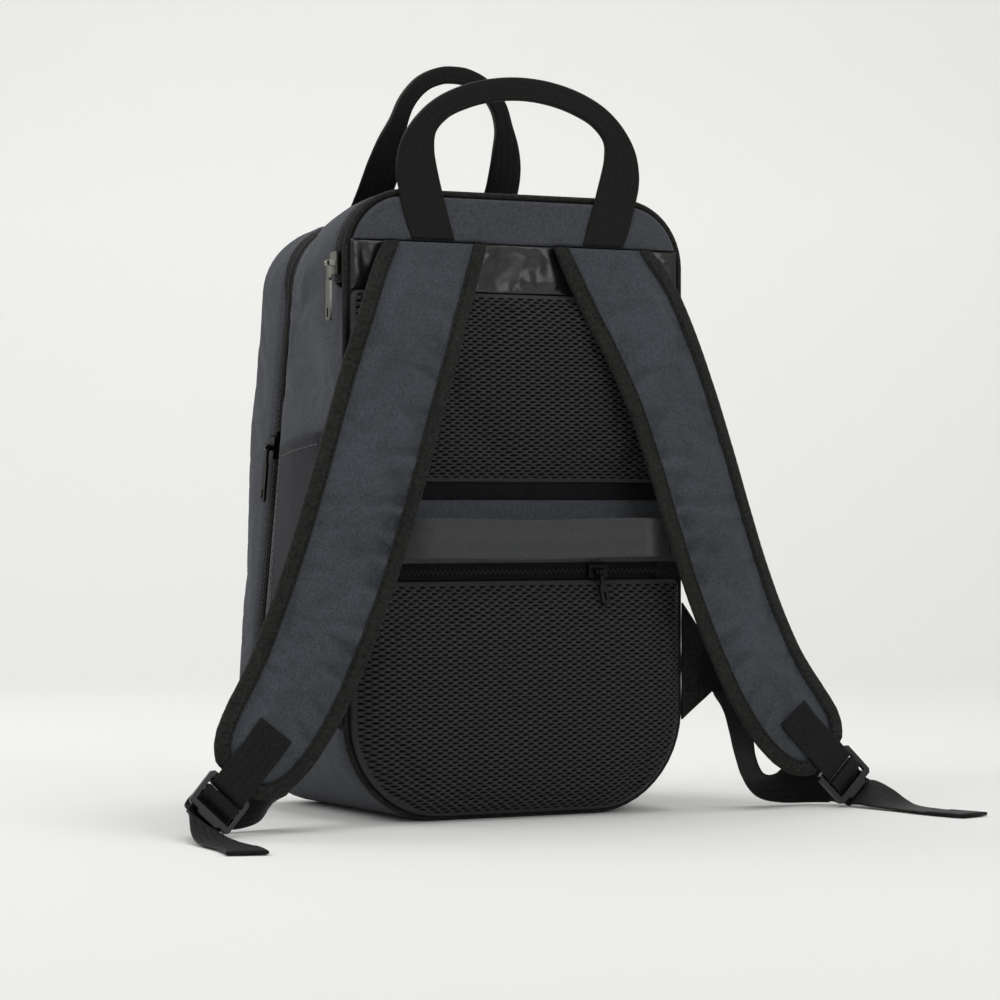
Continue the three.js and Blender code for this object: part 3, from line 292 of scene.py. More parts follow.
def settle(points, faces, hold, slack, pressure, cap):
    """Cloth simulation: the sheet is held where hold is 1, cut larger by slack and pushed out by pressure."""
    mesh = bpy.data.meshes.new("settling")
    mesh.from_pydata((points * MM).tolist(), [], faces)
    obj = bpy.data.objects.new("settling", mesh)
    bpy.context.collection.objects.link(obj)
    group = obj.vertex_groups.new(name="hold")
    for index, weight in enumerate(hold):
        group.add([index], float(weight), "REPLACE")
    cloth = obj.modifiers.new("cloth", "CLOTH")
    for key, value in CLOTH.items():
        setattr(cloth.settings, key, value)
    cloth.settings.shrink_min = cloth.settings.shrink_max = -slack
    cloth.settings.uniform_pressure_force = pressure
    cloth.settings.effector_weights.gravity = 0
    cloth.collision_settings.use_collision = False
    cloth.point_cache.frame_start, cloth.point_cache.frame_end = 1, CLOTH_FRAMES
    scene = bpy.context.scene
    for step in range(1, CLOTH_FRAMES + 1):
        scene.frame_set(step)
    shaped = obj.evaluated_get(bpy.context.evaluated_depsgraph_get()).data
    result = np.zeros(len(points) * 3)
    shaped.vertices.foreach_get("co", result)
    bpy.data.objects.remove(obj)
    bpy.data.meshes.remove(mesh)
    scene.frame_set(1)
    move = result.reshape(-1, 3) / MM - points
    far = np.linalg.norm(move, axis=1, keepdims=True)
    return points + move * np.minimum(1, cap / np.maximum(far, 1e-6))


def set_up(obj, look, nodes, body):
    """A piece's look, the body that it rides on and the solids that it stands for."""
    obj.data.materials.append(look.material)
    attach(obj, body)
    if nodes:
        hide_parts(*nodes)
    return obj


def piece(name, verts, faces, look, nodes=(), uv=None):
    """A smooth mesh from points in millimetres, facing outwards, with its look and its place in the frame."""
    mesh = bpy.data.meshes.new(name)
    mesh.from_pydata((np.asarray(verts).reshape(-1, 3) * MM).tolist(), [], faces)
    if uv is not None:
        layer = mesh.uv_layers.new(name="weave")
        loops = np.zeros(len(mesh.loops), dtype=np.int32)
        mesh.loops.foreach_get("vertex_index", loops)
        layer.data.foreach_set("uv", (np.asarray(uv)[loops] * MM).astype(np.float32).ravel())
    work = bmesh.new()
    work.from_mesh(mesh)
    bmesh.ops.recalc_face_normals(work, faces=work.faces)
    work.to_mesh(mesh)
    work.free()
    mesh.shade_smooth()
    obj = bpy.data.objects.new(name, mesh)
    bpy.context.collection.objects.link(obj)
    return set_up(obj, look, nodes, BAG)


def pair(name, verts, faces, look, node, uv=None):
    """The right piece and its mirror image on the left."""
    verts = np.asarray(verts, float)
    return [piece(f"{name}_{word}", verts * (sign, 1, 1), faces, look, [f"{node}_{word}"] if node else (), uv)
            for word, sign in (("left", -1), ("right", 1))]


def linear(colour, factor=1.0):
    """An sRGB colour of 0 to 255 as the linear colour that a shader takes, made darker or lighter."""
    share = [c / 255 for c in colour]
    plain = [c / 12.92 if c <= 0.04045 else ((c + 0.055) / 1.055) ** 2.4 for c in share]
    return tuple(c * factor for c in plain) + (1.0,)


class Shading:
    """A new material that keeps the name of its slot, and the calls that add nodes to it."""

    def __init__(self, name, slot, rough, metal=0.0, sheen=0.0, specular=0.5):
        self.material = bpy.data.materials.new(name)
        self.material.use_nodes = True
        self.slot = slot
        self.nodes, self.links = self.material.node_tree.nodes, self.material.node_tree.links
        self.shader = self.nodes["Principled BSDF"]
        for socket, value in (("Roughness", rough), ("Metallic", metal), ("Sheen Weight", sheen),
                              ("Sheen Roughness", 0.5), ("Specular IOR Level", specular)):
            self.shader.inputs[socket].default_value = value

    def add(self, kind, **settings):
        """A new node, with its own settings or the values of its sockets."""
        node = self.nodes.new(kind)
        for key, value in settings.items():
            if hasattr(node, key):
                setattr(node, key, value)
            else:
                node.inputs[key.replace("_", " ")].default_value = value
        return node

    def texture(self, kind, **settings):
        """A texture laid in the object's own space."""
        node = self.add(kind, **settings)
        self.links.new(self.add("ShaderNodeTexCoord").outputs["Object"], node.inputs["Vector"])
        return node.outputs["Fac"]

    def math(self, operation, *values, clamp=False):
        """Result of a math node on numbers and sockets."""
        node = self.add("ShaderNodeMath", operation=operation, use_clamp=clamp)
        for socket, value in zip(node.inputs, values):
            if isinstance(value, (int, float)):
                socket.default_value = value
            else:
                self.links.new(value, socket)
        return node.outputs[0]

    def colour(self, factor, dark, light):
        """Base colour between two, by a factor."""
        mix = self.add("ShaderNodeMix", data_type="RGBA")
        self.links.new(factor, mix.inputs[0])
        # Sockets 6 and 7 take the two colours, and output 2 gives the mix.
        mix.inputs[6].default_value = dark
        mix.inputs[7].default_value = light
        self.links.new(mix.outputs[2], self.shader.inputs["Base Color"])

    def bump(self, height, strength, distance):
        """Relief of the surface by a height."""
        node = self.add("ShaderNodeBump", Strength=strength, Distance=distance)
        self.links.new(height, node.inputs["Height"])
        self.links.new(node.outputs["Normal"], self.shader.inputs["Normal"])


def cloth_look(name, slot, colour, rough=0.85, bump=0.35, spread=0.24, grain=700.0):
    """Plain woven cloth: fine twill lines, slubs in the yarn and faint broad shading."""
    look = Shading(name, slot, rough, sheen=0.04, specular=0.12)
    yarn = look.texture("ShaderNodeTexNoise", Scale=grain, Detail=3.0)
    broad = look.texture("ShaderNodeTexNoise", Scale=22.0, Detail=3.0)
    twill = look.texture("ShaderNodeTexWave", bands_direction="DIAGONAL", Scale=420.0, Distortion=1.5,
                         Detail=2.0, Detail_Scale=3.0)
    soft = look.math("MULTIPLY_ADD", broad, 0.6, -1.1)
    fine = look.math("MULTIPLY_ADD", yarn, 2.6, soft, clamp=True)
    look.colour(fine, linear(colour, 1 - spread), linear(colour, 1 + spread))
    look.bump(look.math("ADD", yarn, look.math("MULTIPLY", twill, 0.6)), bump, 0.0004)
    return look


def satin_painted_sheen_look(name, slot, colour):
    """Smooth satin whose shine breaks up in fine slack creases; its colour is painted sheen, lighter and
    darker along the same creases.
    """
    look = Shading(name, slot, 0.26, specular=0.55)
    crease = look.texture("ShaderNodeTexNoise", Scale=48.0, Detail=2.0, Roughness=0.4, Distortion=0.5)
    # Painted sheen: the base colour runs from half to 1.6 times the satin's own colour by the crease noise,
    # standing in for shine on the folds.
    look.colour(crease, linear(colour, 0.5), linear(colour, 1.6))
    look.bump(crease, 0.45, 0.004)
    return look


def webbing_look(name, slot, colour, column=5.0, rib=1.5, bump=0.6, spread=0.3):
    """Woven webbing: herringbone ribs in columns along the strip."""
    look = Shading(name, slot, 0.55, sheen=0.02, specular=0.16)
    split = look.add("ShaderNodeSeparateXYZ")
    look.links.new(look.add("ShaderNodeUVMap", uv_map="weave").outputs[0], split.inputs[0])
    slant = look.math("PINGPONG", split.outputs[0], column * MM / 2)
    run = look.math("ADD", split.outputs[1], slant)
    wave = look.math("SINE", look.math("MULTIPLY", run, 2 * math.pi / (rib * MM)))
    level = look.math("MULTIPLY_ADD", wave, 0.5, 0.5)
    look.colour(level, linear(colour, 1 - spread), linear(colour, 1 + spread))
    look.bump(level, bump, 0.0004)
    return look


def mesh_painted_hole_shade_look(name, slot, colour, hole):
    """Spacer mesh: yarn that darkens into each hole, where the dark is painted shade."""
    look = Shading(name, slot, 0.8, sheen=0.03, specular=0.1)
    depth = look.add("ShaderNodeAttribute", attribute_name="hole").outputs["Fac"]
    # Painted shade: the colour falls from the yarn's to near black into each hole.
    look.colour(depth, linear(colour), linear(hole))
    look.bump(look.texture("ShaderNodeTexNoise", Scale=1500.0, Detail=2.0), 0.3, 0.0003)
    return look


def hard_look(name, slot, colour, rough, metal, grain):
    """Moulded plastic or plated metal with a fine grain."""
    look = Shading(name, slot, rough, metal)
    speck = look.texture("ShaderNodeTexNoise", Scale=grain, Detail=3.0)
    look.colour(speck, linear(colour, 0.8), linear(colour, 1.2))
    look.bump(speck, 0.08, 0.0002)
    return look


CHARCOAL = cloth_look("charcoal_cloth", "charcoal_cloth", (66, 68, 73))
STRAP_CLOTH = cloth_look("strap_cloth", "charcoal_cloth", (64, 67, 72))
POCKET_CLOTH = cloth_look("pocket_cloth", "pocket_cloth", (43, 44, 48))
BLACK_CLOTH = cloth_look("black_cloth", "black_cloth", (34, 34, 33), spread=0.5, bump=0.8, grain=480.0)
TAPE_CLOTH = cloth_look("tape_cloth", "black_cloth", (17, 17, 17), spread=0.4, bump=0.6, grain=480.0)
# Satin, its colour lightened and darkened by painted sheen.
SATIN_PAINTED_SHEEN = satin_painted_sheen_look("satin_cloth", "satin_cloth", (20, 21, 20))
# Yarn colour, then the near-black painted shade in the holes.
MESH = mesh_painted_hole_shade_look("mesh_cloth", "mesh_cloth", (57, 59, 58), (2, 2, 2))
WEBBING = webbing_look("black_webbing", "black_webbing", (16, 16, 15))
BAND_WEBBING = webbing_look("band_webbing", "black_webbing", (64, 66, 65), column=12.5, rib=2.0, bump=1.0,
                            spread=0.34)
PLASTIC = hard_look("black_plastic", "black_plastic", (10, 11, 11), 0.28, 0.0, 900.0)
METAL = hard_look("gunmetal", "gunmetal", (118, 119, 112), 0.22, 1.0, 1500.0)
DARK_METAL = hard_look("dark_metal", "gunmetal", (30, 30, 29), 0.35, 0.9, 1500.0)
THREAD = cloth_look("thread", "black_webbing", (34, 35, 35), rough=0.6, bump=0.1)
# Strap binding thread: real stitches, made darker than the other thread so that they also paint the shadow
# line along the binding's edge.
DARK_THREAD_AND_PAINTED_SHADOW = cloth_look("dark_thread_painted_shadow", "black_webbing", (11, 11, 11), rough=0.7, bump=0.1)
PALE_THREAD = cloth_look("pale_thread", "black_webbing", (104, 105, 104), rough=0.6, bump=0.1)
TEETH = hard_look("zip_teeth", "black_plastic", (12, 12, 12), 0.65, 0.0, 1500.0)


def strip_mesh(centres, across, half, thick, square=True):
    """Points, faces, weave coordinates and facing of a flat band along its stations."""
    loop = np.array(BAND_SECTION + [(w, -t) for w, t in reversed(BAND_SECTION)])
    run = unit(np.gradient(centres, axis=0))
    wide = np.asarray(across, float)
    if square:
        wide = unit(wide - run * np.sum(wide * run, axis=1, keepdims=True))
    face = unit(np.cross(run, wide))
    half = np.broadcast_to(half, len(centres))[:, None, None]
    thick = np.broadcast_to(thick, len(centres))[:, None, None]
    rings = (centres[:, None] + wide[:, None] * (half * loop[None, :, :1])
             + face[:, None] * (thick * loop[None, :, 1:]))
    along = np.broadcast_to(lengths(centres)[:, None], rings.shape[:2])
    side = np.broadcast_to(half[:, :, 0] * loop[None, :, 0], rings.shape[:2])
    uv = np.stack([side, along], axis=-1).reshape(-1, 2)
    return rings, capped_faces(*rings.shape[:2]), uv, face


def copies(shape, faces, places, *ways):
    """A small shape set at each place, its columns measured along the ways given there: points and faces."""
    verts = places[:, None] + sum(way[:, None] * column[None, :, None] for way, column in zip(ways, shape.T))
    bases = range(0, len(places) * len(shape), len(shape))
    return verts, [tuple(base + corner for corner in face) for base in bases for face in faces]


def stitches(name, runs, pitch, length, radius=0.34, mirror=False, look=THREAD):
    """Short rounded threads, half sunk in the cloth, along lines of points with the ways out of the cloth."""
    rows = []
    for points, out in runs:
        along = lengths(points)
        starts = np.arange(pitch / 2, along[-1] - length, pitch)
        at = lambda places, line: np.stack([np.interp(places, along, column) for column in line.T], 1)
        first, last = at(starts, points), at(starts + length, points)
        up = unit(at(starts + length / 2, out))
        rows.append((first, last - first, unit(np.cross(unit(last - first), up)), up))
    turns = 2 * math.pi * np.arange(STITCH_SIDES) / STITCH_SIDES
    rings = [(share, fat * radius * math.cos(turn), fat * radius * (math.sin(turn) + 1 - 2 * STITCH_SINK))
             for share, fat in STITCH_ENDS for turn in turns]
    ring_faces = capped_faces(len(STITCH_ENDS), STITCH_SIDES)
    verts, faces = copies(np.array(rings), ring_faces, *(np.vstack(column) for column in zip(*rows)))
    if mirror:
        pair(name, verts, faces, look, None)
    else:
        piece(name, verts, faces, look)


def add_camera():
    data = bpy.data.cameras.new("camera")
    data.lens = CAMERA["lens"]
    data.sensor_width = CAMERA["sensor"]
    data.shift_y = CAMERA["lift"]
    data.clip_end = 100
    camera = bpy.data.objects.new("camera", data)
    camera.location = Vector(CAMERA["place"]) * MM
    camera.rotation_euler = (math.pi / 2, 0, -YAW)
    bpy.context.collection.objects.link(camera)
    bpy.context.scene.camera = camera


add_camera()

# Middle line of the strap, and the distance along it at finely spaced shares.
STRAP_MIDDLE = [row[:3] for row in STRAP_LINE]
FINE = np.linspace(0, 1, 2001)
STRAP_ALONG = lengths(catmull(STRAP_MIDDLE, FINE))
STRAP_LENGTH = STRAP_ALONG[-1]


def strap_frame(share):
    """Middle of the strap at a share of its length, and the directions along, across and out."""
    count = np.interp(share * STRAP_LENGTH, STRAP_ALONG, FINE)
    step = 1e-4
    near = catmull(STRAP_MIDDLE, [count - step, count, count + step])
    tangent = unit(near[2] - near[0])
    turns = [row[3] for row in STRAP_LINE]
    turn = math.radians(np.interp(count * (len(turns) - 1), range(len(turns)), turns))
    level = unit(np.array([-tangent[2], 0, tangent[0]]))
    front = np.cross(tangent, level)
    across = level * math.cos(turn) - front * math.sin(turn)
    return near[1], tangent, across, unit(np.cross(tangent, across))


LOCK_FRAME = strap_frame(1.0)


def lock_point(along, up):
    """Place in the lock at a distance along from its first bar and a height over its middle."""
    centre, tangent, _, out = LOCK_FRAME
    return centre + tangent * (LOCK_FROM_END + along) + out * up


def adjuster_webs():
    """Adjusting webbing from the wing through the lock to its hemmed tail on the floor."""
    in_lock = [(*lock_point(a, up), *LOCK_FRAME[2]) for a, up in WEB_IN_LOCK]
    rows = np.array(WEB_SLACK + in_lock + WEB_TAIL)
    shares = np.linspace(0, 1, WEB_STATIONS)
    centres, across = catmull(rows[:, :3], shares), catmull(rows[:, 3:], shares)
    along = lengths(centres)
    thick = np.where(along > along[-1] - HEM_LENGTH, HEM_THICK, WEB_THICK)
    verts, faces, uv, _ = strip_mesh(centres, across, WEB_HALF, thick)
    for obj, sign in zip(pair("adjuster_web_skin", verts, faces, WEBBING, "adjuster_web", uv), (-1, 1)):
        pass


adjuster_webs()


def body_half(along):
    """Half width of the body at a share of the way to the front zip."""
    return np.interp(along, [0, 1], [BODY["half"], BODY["front_half"]])


def body_ring(along, side_steps=110, corner_steps=12, flat_steps=10):
    """Body outline seen from the back at a share of the way to the front zip: x, z and the way out."""
    half = body_half(along)
    high = np.interp(along, [0, 1], [BODY["high"], BODY["front_high"]])
    low_r, top_r = BODY["low_r"], BODY["top_r"]
    turn = np.linspace(0, math.pi / 2, corner_steps + 1)
    sine, cosine = np.sin(turn), np.cos(turn)
    edge = lambda *columns: np.stack(np.broadcast_arrays(*columns), 1)
    flat = np.linspace(0, half - low_r, flat_steps, endpoint=False)
    side = np.linspace(low_r, high - top_r, side_steps + 2)[1:-1]
    top = np.linspace(half - top_r, 0, flat_steps + 1)[1:]
    right = np.vstack([
        edge(flat, 0, 0, -1),
        edge(half - low_r * (1 - sine), low_r * (1 - cosine), sine, -cosine),
        edge(half, side, 1, 0),
        edge(half - top_r * (1 - cosine), high - top_r * (1 - sine), cosine, sine),
        edge(top, high, 0, 1),
    ])
    left = right[1:-1][::-1] * (-1, 1, -1, 1)
    return np.vstack([right, left])


def pushed(ring, distance):
    """Ring moved out from the body by a distance, one for all or one for each point."""
    distance = np.broadcast_to(distance, len(ring))
    return ring[:, 0] + ring[:, 2] * distance, ring[:, 1] + ring[:, 3] * distance


def on_body(ring, lift, depth):
    """Points of a ring moved out from the body by lift, at a depth from the back panel's outer face."""
    x, z = pushed(ring, lift)
    return np.stack([x, BODY["back"] + depth + 0 * x, z], 1)


def ways_out(ring):
    """Direction out of the body at each point of a ring."""
    return np.stack([ring[:, 2], 0 * ring[:, 2], ring[:, 3]], 1)


def swell_share(ring):
    """1 on the sides and top of a ring, falling to 0 under the base."""
    return np.clip(1 + 1.3 * ring[:, 3], 0, 1)


def near_floor(z):
    """1 close to the floor, where the cloth is held, and 0 above."""
    return 1 - smooth(z, *FLOOR_HELD)


def zip_depth(z):
    """Depth of the front zip's middle at each height."""
    return FRONT_ZIP["depth"] - FRONT_ZIP["slope"] * z


def face_depth(z):
    """Depth of the front face at each height."""
    return FACE["depth"] - FACE["fall"] * (np.maximum(0, z - FACE["belly"]) / FACE["over"]) ** 2


def zip_half(ring):
    """Half width left for the front zip, a bare seam below its ends."""
    low = np.where(ring[:, 0] < 0, FRONT_ZIP["side_low"], FRONT_ZIP["end"])
    seam = FRONT_ZIP["seam_half"]
    return seam + (FRONT_ZIP["half"] + GAP - seam) * smooth(ring[:, 1], low - ZIP_FADE, low)


def gusset_points(ring, along, lift):
    """Points on the main wall at a share of the way from its back seam to the front zip."""
    beside_zip = smooth(ring[:, 1], MAIN_ZIP["end"] - ZIP_FADE, MAIN_ZIP["end"])
    back = MAIN_ZIP["seam"] + (MAIN_ZIP["far"] + GAP - MAIN_ZIP["seam"]) * beside_zip
    depth = back + (zip_depth(ring[:, 1]) - zip_half(ring) - back) * along
    return on_body(ring, read(GUSSET_SWELL, along) * swell_share(ring) + lift, depth)


def folded_wall(outer, inner, hold, ways, folds, settling):
    """Outer and inner skins of a cloth wall: soft folds, then settled as cloth between its seams."""
    flat = outer.reshape(-1, 3)
    start = flat + rumple(flat, **folds)[:, None] * ways.reshape(-1, 3)
    end = settle(start, grid_faces(*outer.shape[:2], loop_cols=True), hold.ravel(), **settling)
    end[:, 2] = np.maximum(end[:, 2], 0.0)
    return end.reshape(outer.shape), (inner.reshape(-1, 3) + end - flat).reshape(inner.shape)


def under_pocket(ring, share):
    """1 where the left wall lies under the side pocket, fading to 0 around it."""
    low, high, near, reach = POCKET["low"], POCKET["high"], POCKET["near"], POCKET_FADES["high"]
    left = smooth(-ring[:, 0] - BODY["front_half"], *POCKET_FADES["side"])
    level = smooth(ring[:, 1], low - reach, low) * (1 - smooth(ring[:, 1], high, high + reach))
    along = smooth(share, near - POCKET_FADES["near"], near) * (1 - smooth(share, POCKET["far"], 1.0))
    return left * level * along


def open_band(ring):
    """How far the front zip's black tape opens out over the top corners, 0 to 1."""
    return smooth(ring[:, 1], OPEN_TAPE["low"], OPEN_TAPE["high"])


def main_gusset():
    """Cloth wall of the main compartment: base, sides and top, outside and inside."""
    outer, inner, hold, ways = [], [], [], []
    for share in np.concatenate([[0, 0.015], np.linspace(0.04, 0.96, 30), [0.985, 1]]):
        ring = body_ring(share)
        from_seam = min(share, 1 - share)
        tuck = SEAM_TUCK * (1 - smooth(from_seam, *MAIN_FADES["tuck"]))
        outer.append(gusset_points(ring, share, -tuck * swell_share(ring)))
        inner.append(gusset_points(ring, share, -BODY["wall"]))
        flat = np.maximum(under_pocket(ring, share), open_band(ring) * smooth(share, *MAIN_FADES["band"]))
        fade = smooth(from_seam, *MAIN_FADES["folds"]) * smooth(ring[:, 1], *MAIN_FADES["folds_high"])
        ways.append(ways_out(ring) * (fade * (1 - flat))[:, None])
        sewn = np.maximum(1 - smooth(from_seam, *MAIN_FADES["sewn"]), near_floor(ring[:, 1]))
        hold.append(np.maximum(sewn, flat))
    skins = [np.array(rows) for rows in (outer, inner, hold, ways)]
    outer, inner = folded_wall(*skins, MAIN_FOLDS, MAIN_SETTLING)
    rings = np.vstack([outer, inner[::-1]])
    piece("main_wall", rings, grid_faces(*rings.shape[:2], True, True), CHARCOAL, ["main_gusset"])


def front_shell():
    """Dish-shaped cloth wall of the front compartment, outside and inside."""
    ring = body_ring(1.0)
    rim = zip_depth(ring[:, 1]) + zip_half(ring)
    edge = catmull(SHELL_EDGE, np.linspace(0, 1, 14))[1:]
    last_inset, last_drop = SHELL_EDGE[-1]
    middle = BODY["front_high"] / 2

    def skin(wall):
        rows = []
        for share in np.concatenate([[0, 0.05], np.linspace(0.12, 1, 12)]):
            depth = rim + (face_depth(ring[:, 1]) - SHELL_EDGE[0][1] - rim) * share
            rows.append(on_body(ring, read(SHELL_SWELL, share) * swell_share(ring) - wall, depth))
        for inset, drop in edge:
            x, z = pushed(ring, -inset - wall)
            rows.append(np.stack([x, BODY["back"] + face_depth(z) - drop - wall, z], 1))
        x, z = pushed(ring, -last_inset - wall)
        for scale in np.linspace(1, 0, SHELL_FACE_STEPS + 1)[1:-1]:
            level = middle + (z - middle) * scale
            drop = last_drop * scale + wall
            rows.append(np.stack([x * scale, BODY["back"] + face_depth(level) - drop, level], 1))
        return np.array(rows)

    outer, inner = skin(0.0), skin(BODY["wall"])
    height, count = outer[..., 2:], len(outer)
    from_rim = np.arange(count)[:, None, None] + 0 * height
    fade = smooth(from_rim, *FRONT_FADES["folds"]) * smooth(height, *FRONT_FADES["folds_high"])
    ways = np.concatenate([0 * fade, fade, 0 * fade], axis=2)
    hold = np.maximum(1 - smooth(from_rim, *FRONT_FADES["rim"]), near_floor(height))
    hold = np.maximum(hold, smooth(from_rim - count, *FRONT_FADES["middle"]))
    outer, inner = folded_wall(outer, inner, hold, ways, FRONT_FOLDS, FRONT_SETTLING)
    rings = np.vstack([outer[::-1], inner])
    piece("front_wall", rings, capped_faces(*rings.shape[:2]), CHARCOAL, ["front_compartment"])


def tape_strip(name, ring, near, far, profile, node):
    """Zip tape along part of the body outline, between two depths."""
    rings = np.stack([on_body(ring, rise, near + (far - near) * share) for share, rise in profile], axis=1)
    piece(name, rings, capped_faces(*rings.shape[:2]), TAPE_CLOTH, [node])


def chain(name, line, out, high):
    """Closed zip chain: two rows of teeth that mesh along a line."""
    line = even(line, int(lengths(line)[-1] / CHAIN["pitch"]))
    out = unit(even(out, len(line)))
    run = unit(np.gradient(line, axis=0))
    across = np.cross(run, out)
    shift = CHAIN["wide"] * CHAIN["shift"] * (1 - 2 * (np.arange(len(line)) % 2))
    tooth = np.array(TOOTH) * (CHAIN["pitch"], CHAIN["wide"] * CHAIN["tooth"], high)
    verts, faces = copies(tooth, TOOTH_FACES, line + across * shift[:, None], run, across, out)
    piece(name, verts, faces, TEETH)


def wall_zips():
    """The main and front zips over the top and the side zip down the left seam."""
    near, far = MAIN_ZIP["near"], MAIN_ZIP["far"]
    back, front = body_ring(0.0), body_ring(1.0)
    arch = back[back[:, 1] >= MAIN_ZIP["end"] + GAP]
    tape_strip("main_zip_skin", arch, near, far, MAIN_TAPE, "main_zip_tape")
    chain("main_zip_chain", on_body(arch, CHAIN["offset"], (near + far) / 2), ways_out(arch), high=0.7)
    over = front[front[:, 1] >= FRONT_ZIP["end"] + GAP]
    down = front[(front[:, 0] < 0) & (front[:, 3] == 0) & (front[:, 1] >= FRONT_ZIP["side_low"] + GAP)
                 & (front[:, 1] <= FRONT_ZIP["end"] - FRONT_ZIP["side_gap"])]
    for word, ring in (("front", over), ("side", down)):
        depth = zip_depth(ring[:, 1])
        half, edge, groove = (FRONT_TAPE[key] + OPEN_TAPE[key] * open_band(ring)
                              for key in ("half", "edge", "groove"))
        lip, under = edge - FRONT_TAPE["lip"], FRONT_TAPE["under"]
        profile = [(0, lip), (0.04, edge), (0.3, groove), (0.7, groove), (0.96, edge), (1, lip),
                   (0.9, under), (0.1, under)]
        tape_strip(f"{word}_zip_skin", ring, depth - half, depth + half, profile, f"{word}_zip_tape")
        chain(f"{word}_zip_chain", on_body(ring, groove - CHAIN["offset"], depth), ways_out(ring), high=0.8)


def piping():
    """Black piping round the back panel, tucked in under the base."""
    ring = body_ring(0.0)
    radius = PIPING["radius"]
    tuck = radius * np.maximum(0, -ring[:, 3])
    cols = []
    for k in range(PIPING["sides"]):
        turn = 2 * math.pi * k / PIPING["sides"]
        cols.append(on_body(ring, radius * math.cos(turn) - tuck, PIPING["depth"] + radius * math.sin(turn)))
    rings = np.stack(cols, axis=1)
    piece("back_piping_skin", rings, grid_faces(*rings.shape[:2], True, True), BLACK_CLOTH, ["back_piping"])


def outline(shape):
    """Half width, low and high edge and the two corner radii of a panel."""
    return shape["half"], shape["low"], shape["high"], shape.get("low_r", 0.0), shape.get("top_r", 0.0)


def half_width(shape, z):
    """Half width of a panel with rounded corners at each height."""
    half, low, high, low_r, top_r = outline(shape)
    below = np.clip(low + low_r - z, 0, low_r)
    above = np.clip(z - high + top_r, 0, top_r)
    return (half - (low_r - np.sqrt(np.maximum(low_r ** 2 - below ** 2, 0)))
            - (top_r - np.sqrt(np.maximum(top_r ** 2 - above ** 2, 0))))


def edge_distance(shape, x, z):
    """Distance of each point of a panel from its nearest edge."""
    half, low, high, low_r, top_r = outline(shape)
    wide = np.abs(x)
    plain = np.minimum(half - wide, np.minimum(z - low, high - z))
    low_corner = low_r - np.hypot(np.maximum(wide - half + low_r, 0), np.maximum(low + low_r - z, 0))
    top_corner = top_r - np.hypot(np.maximum(wide - half + top_r, 0), np.maximum(z - high + top_r, 0))
    in_low = (wide > half - low_r) & (z < low + low_r)
    in_top = (wide > half - top_r) & (z > high - top_r)
    return np.maximum(np.where(in_low, low_corner, np.where(in_top, top_corner, plain)), 0)


def pillow(x, z, height, inner, step=6):
    """How far a pad's cover rises when it is settled as cloth, on a coarser grid than the piece has."""
    rows, cols = (np.unique(np.append(np.arange(0, size, step), size - 1)) for size in x.shape)
    pick = np.ix_(rows, cols)
    start = np.stack([x[pick], -height[pick], z[pick]], -1).reshape(-1, 3)
    held = 1 - smooth(inner[pick].ravel(), 1, 7)
    end = settle(start, grid_faces(len(rows), len(cols)), held, **PAD_SETTLING)
    risen = (start - end)[:, 1].reshape(len(rows), len(cols))
    finer = np.array([np.interp(np.arange(x.shape[1]), cols, row) for row in risen])
    return np.stack([np.interp(np.arange(x.shape[0]), rows, col) for col in finer.T], axis=1)


def mesh_holes(x, z, inner):
    """Staggered lens-shaped holes of the spacer mesh, 1 in a hole and 0 on the yarn; the same mask dents the
    mesh and sets its painted shade.
    """
    across, pitch = MESH_HOLES["across"], MESH_HOLES["rows"]
    row = np.round(z / pitch)
    shift = np.where(row % 2 == 0, 0.0, across / 2)
    dx = (x + shift) - across * np.round((x + shift) / across)
    dz = z - row * pitch
    reach = (dx / MESH_HOLES["long"]) ** 2 + np.abs(dz) / MESH_HOLES["tall"]
    return (1 - smooth(reach, 0.5, 1.25)) * smooth(inner, 1.5, 3)


def panel(name, shape, rise, steps, look, node, folds, mesh=False):
    """A panel sewn flat behind and raised in front: rise gives its height by the distance from its edge."""
    base = BODY["back"] - GAP
    rows = int((shape["high"] - shape["low"]) / steps[1]) + 1
    cols = int(2 * shape["half"] / steps[0]) + 1
    z = np.linspace(shape["low"], shape["high"], rows)[:, None] + np.zeros((1, cols))
    x = np.linspace(-1, 1, cols)[None, :] * half_width(shape, z)
    inner = edge_distance(shape, x, z)
    height = rise(inner)
    if mesh:
        height = height + pillow(x, z, height, inner)
    if folds:
        crease = rumple(np.stack([x, 0 * x, z], -1).reshape(-1, 3), **folds)
        height = np.maximum(height + crease.reshape(x.shape) * smooth(inner, 0, 8), LEAST_RISE)
    hole_dent_and_painted_shade = mesh_holes(x, z, inner) if mesh else 0 * x
    front = np.stack([x, base - height + hole_dent_and_painted_shade * MESH_HOLES["deep"], z], -1).reshape(-1, 3)
    index = np.arange(rows * cols).reshape(rows, cols)
    border = np.concatenate([index[0], index[1:, -1], index[-1, -2::-1], index[-2:0:-1, 0]])
    behind = front[border] * (1, 0, 1) + (0, base, 0)
    faces = grid_faces(rows, cols)
    start, count = rows * cols, len(border)
    faces += [(int(border[i]), int(border[(i + 1) % count]), start + (i + 1) % count, start + i)
              for i in range(count)]
    faces.append(tuple(range(start, start + count)))
    obj = piece(name, np.vstack([front, behind]), faces, look, [node])
    if mesh:
        # The hole mask, kept on the points, sets the painted shade in the mesh holes.
        layer = obj.data.attributes.new("hole", "FLOAT", "POINT")
        layer.data.foreach_set("value", np.concatenate([hole_dent_and_painted_shade.ravel(), np.zeros(count)]).astype(np.float32))
    return obj


def pad_rise(swell):
    """Height of a back pad by the distance from its sewn edge."""
    return lambda inner: swell * read(PAD_CROWN, inner)


def flat_rise(thick, lip=1.2):
    """Height of a flat panel, thinner at its edge."""
    return lambda inner: thick * (0.35 + 0.65 * smooth(inner, 0, lip))


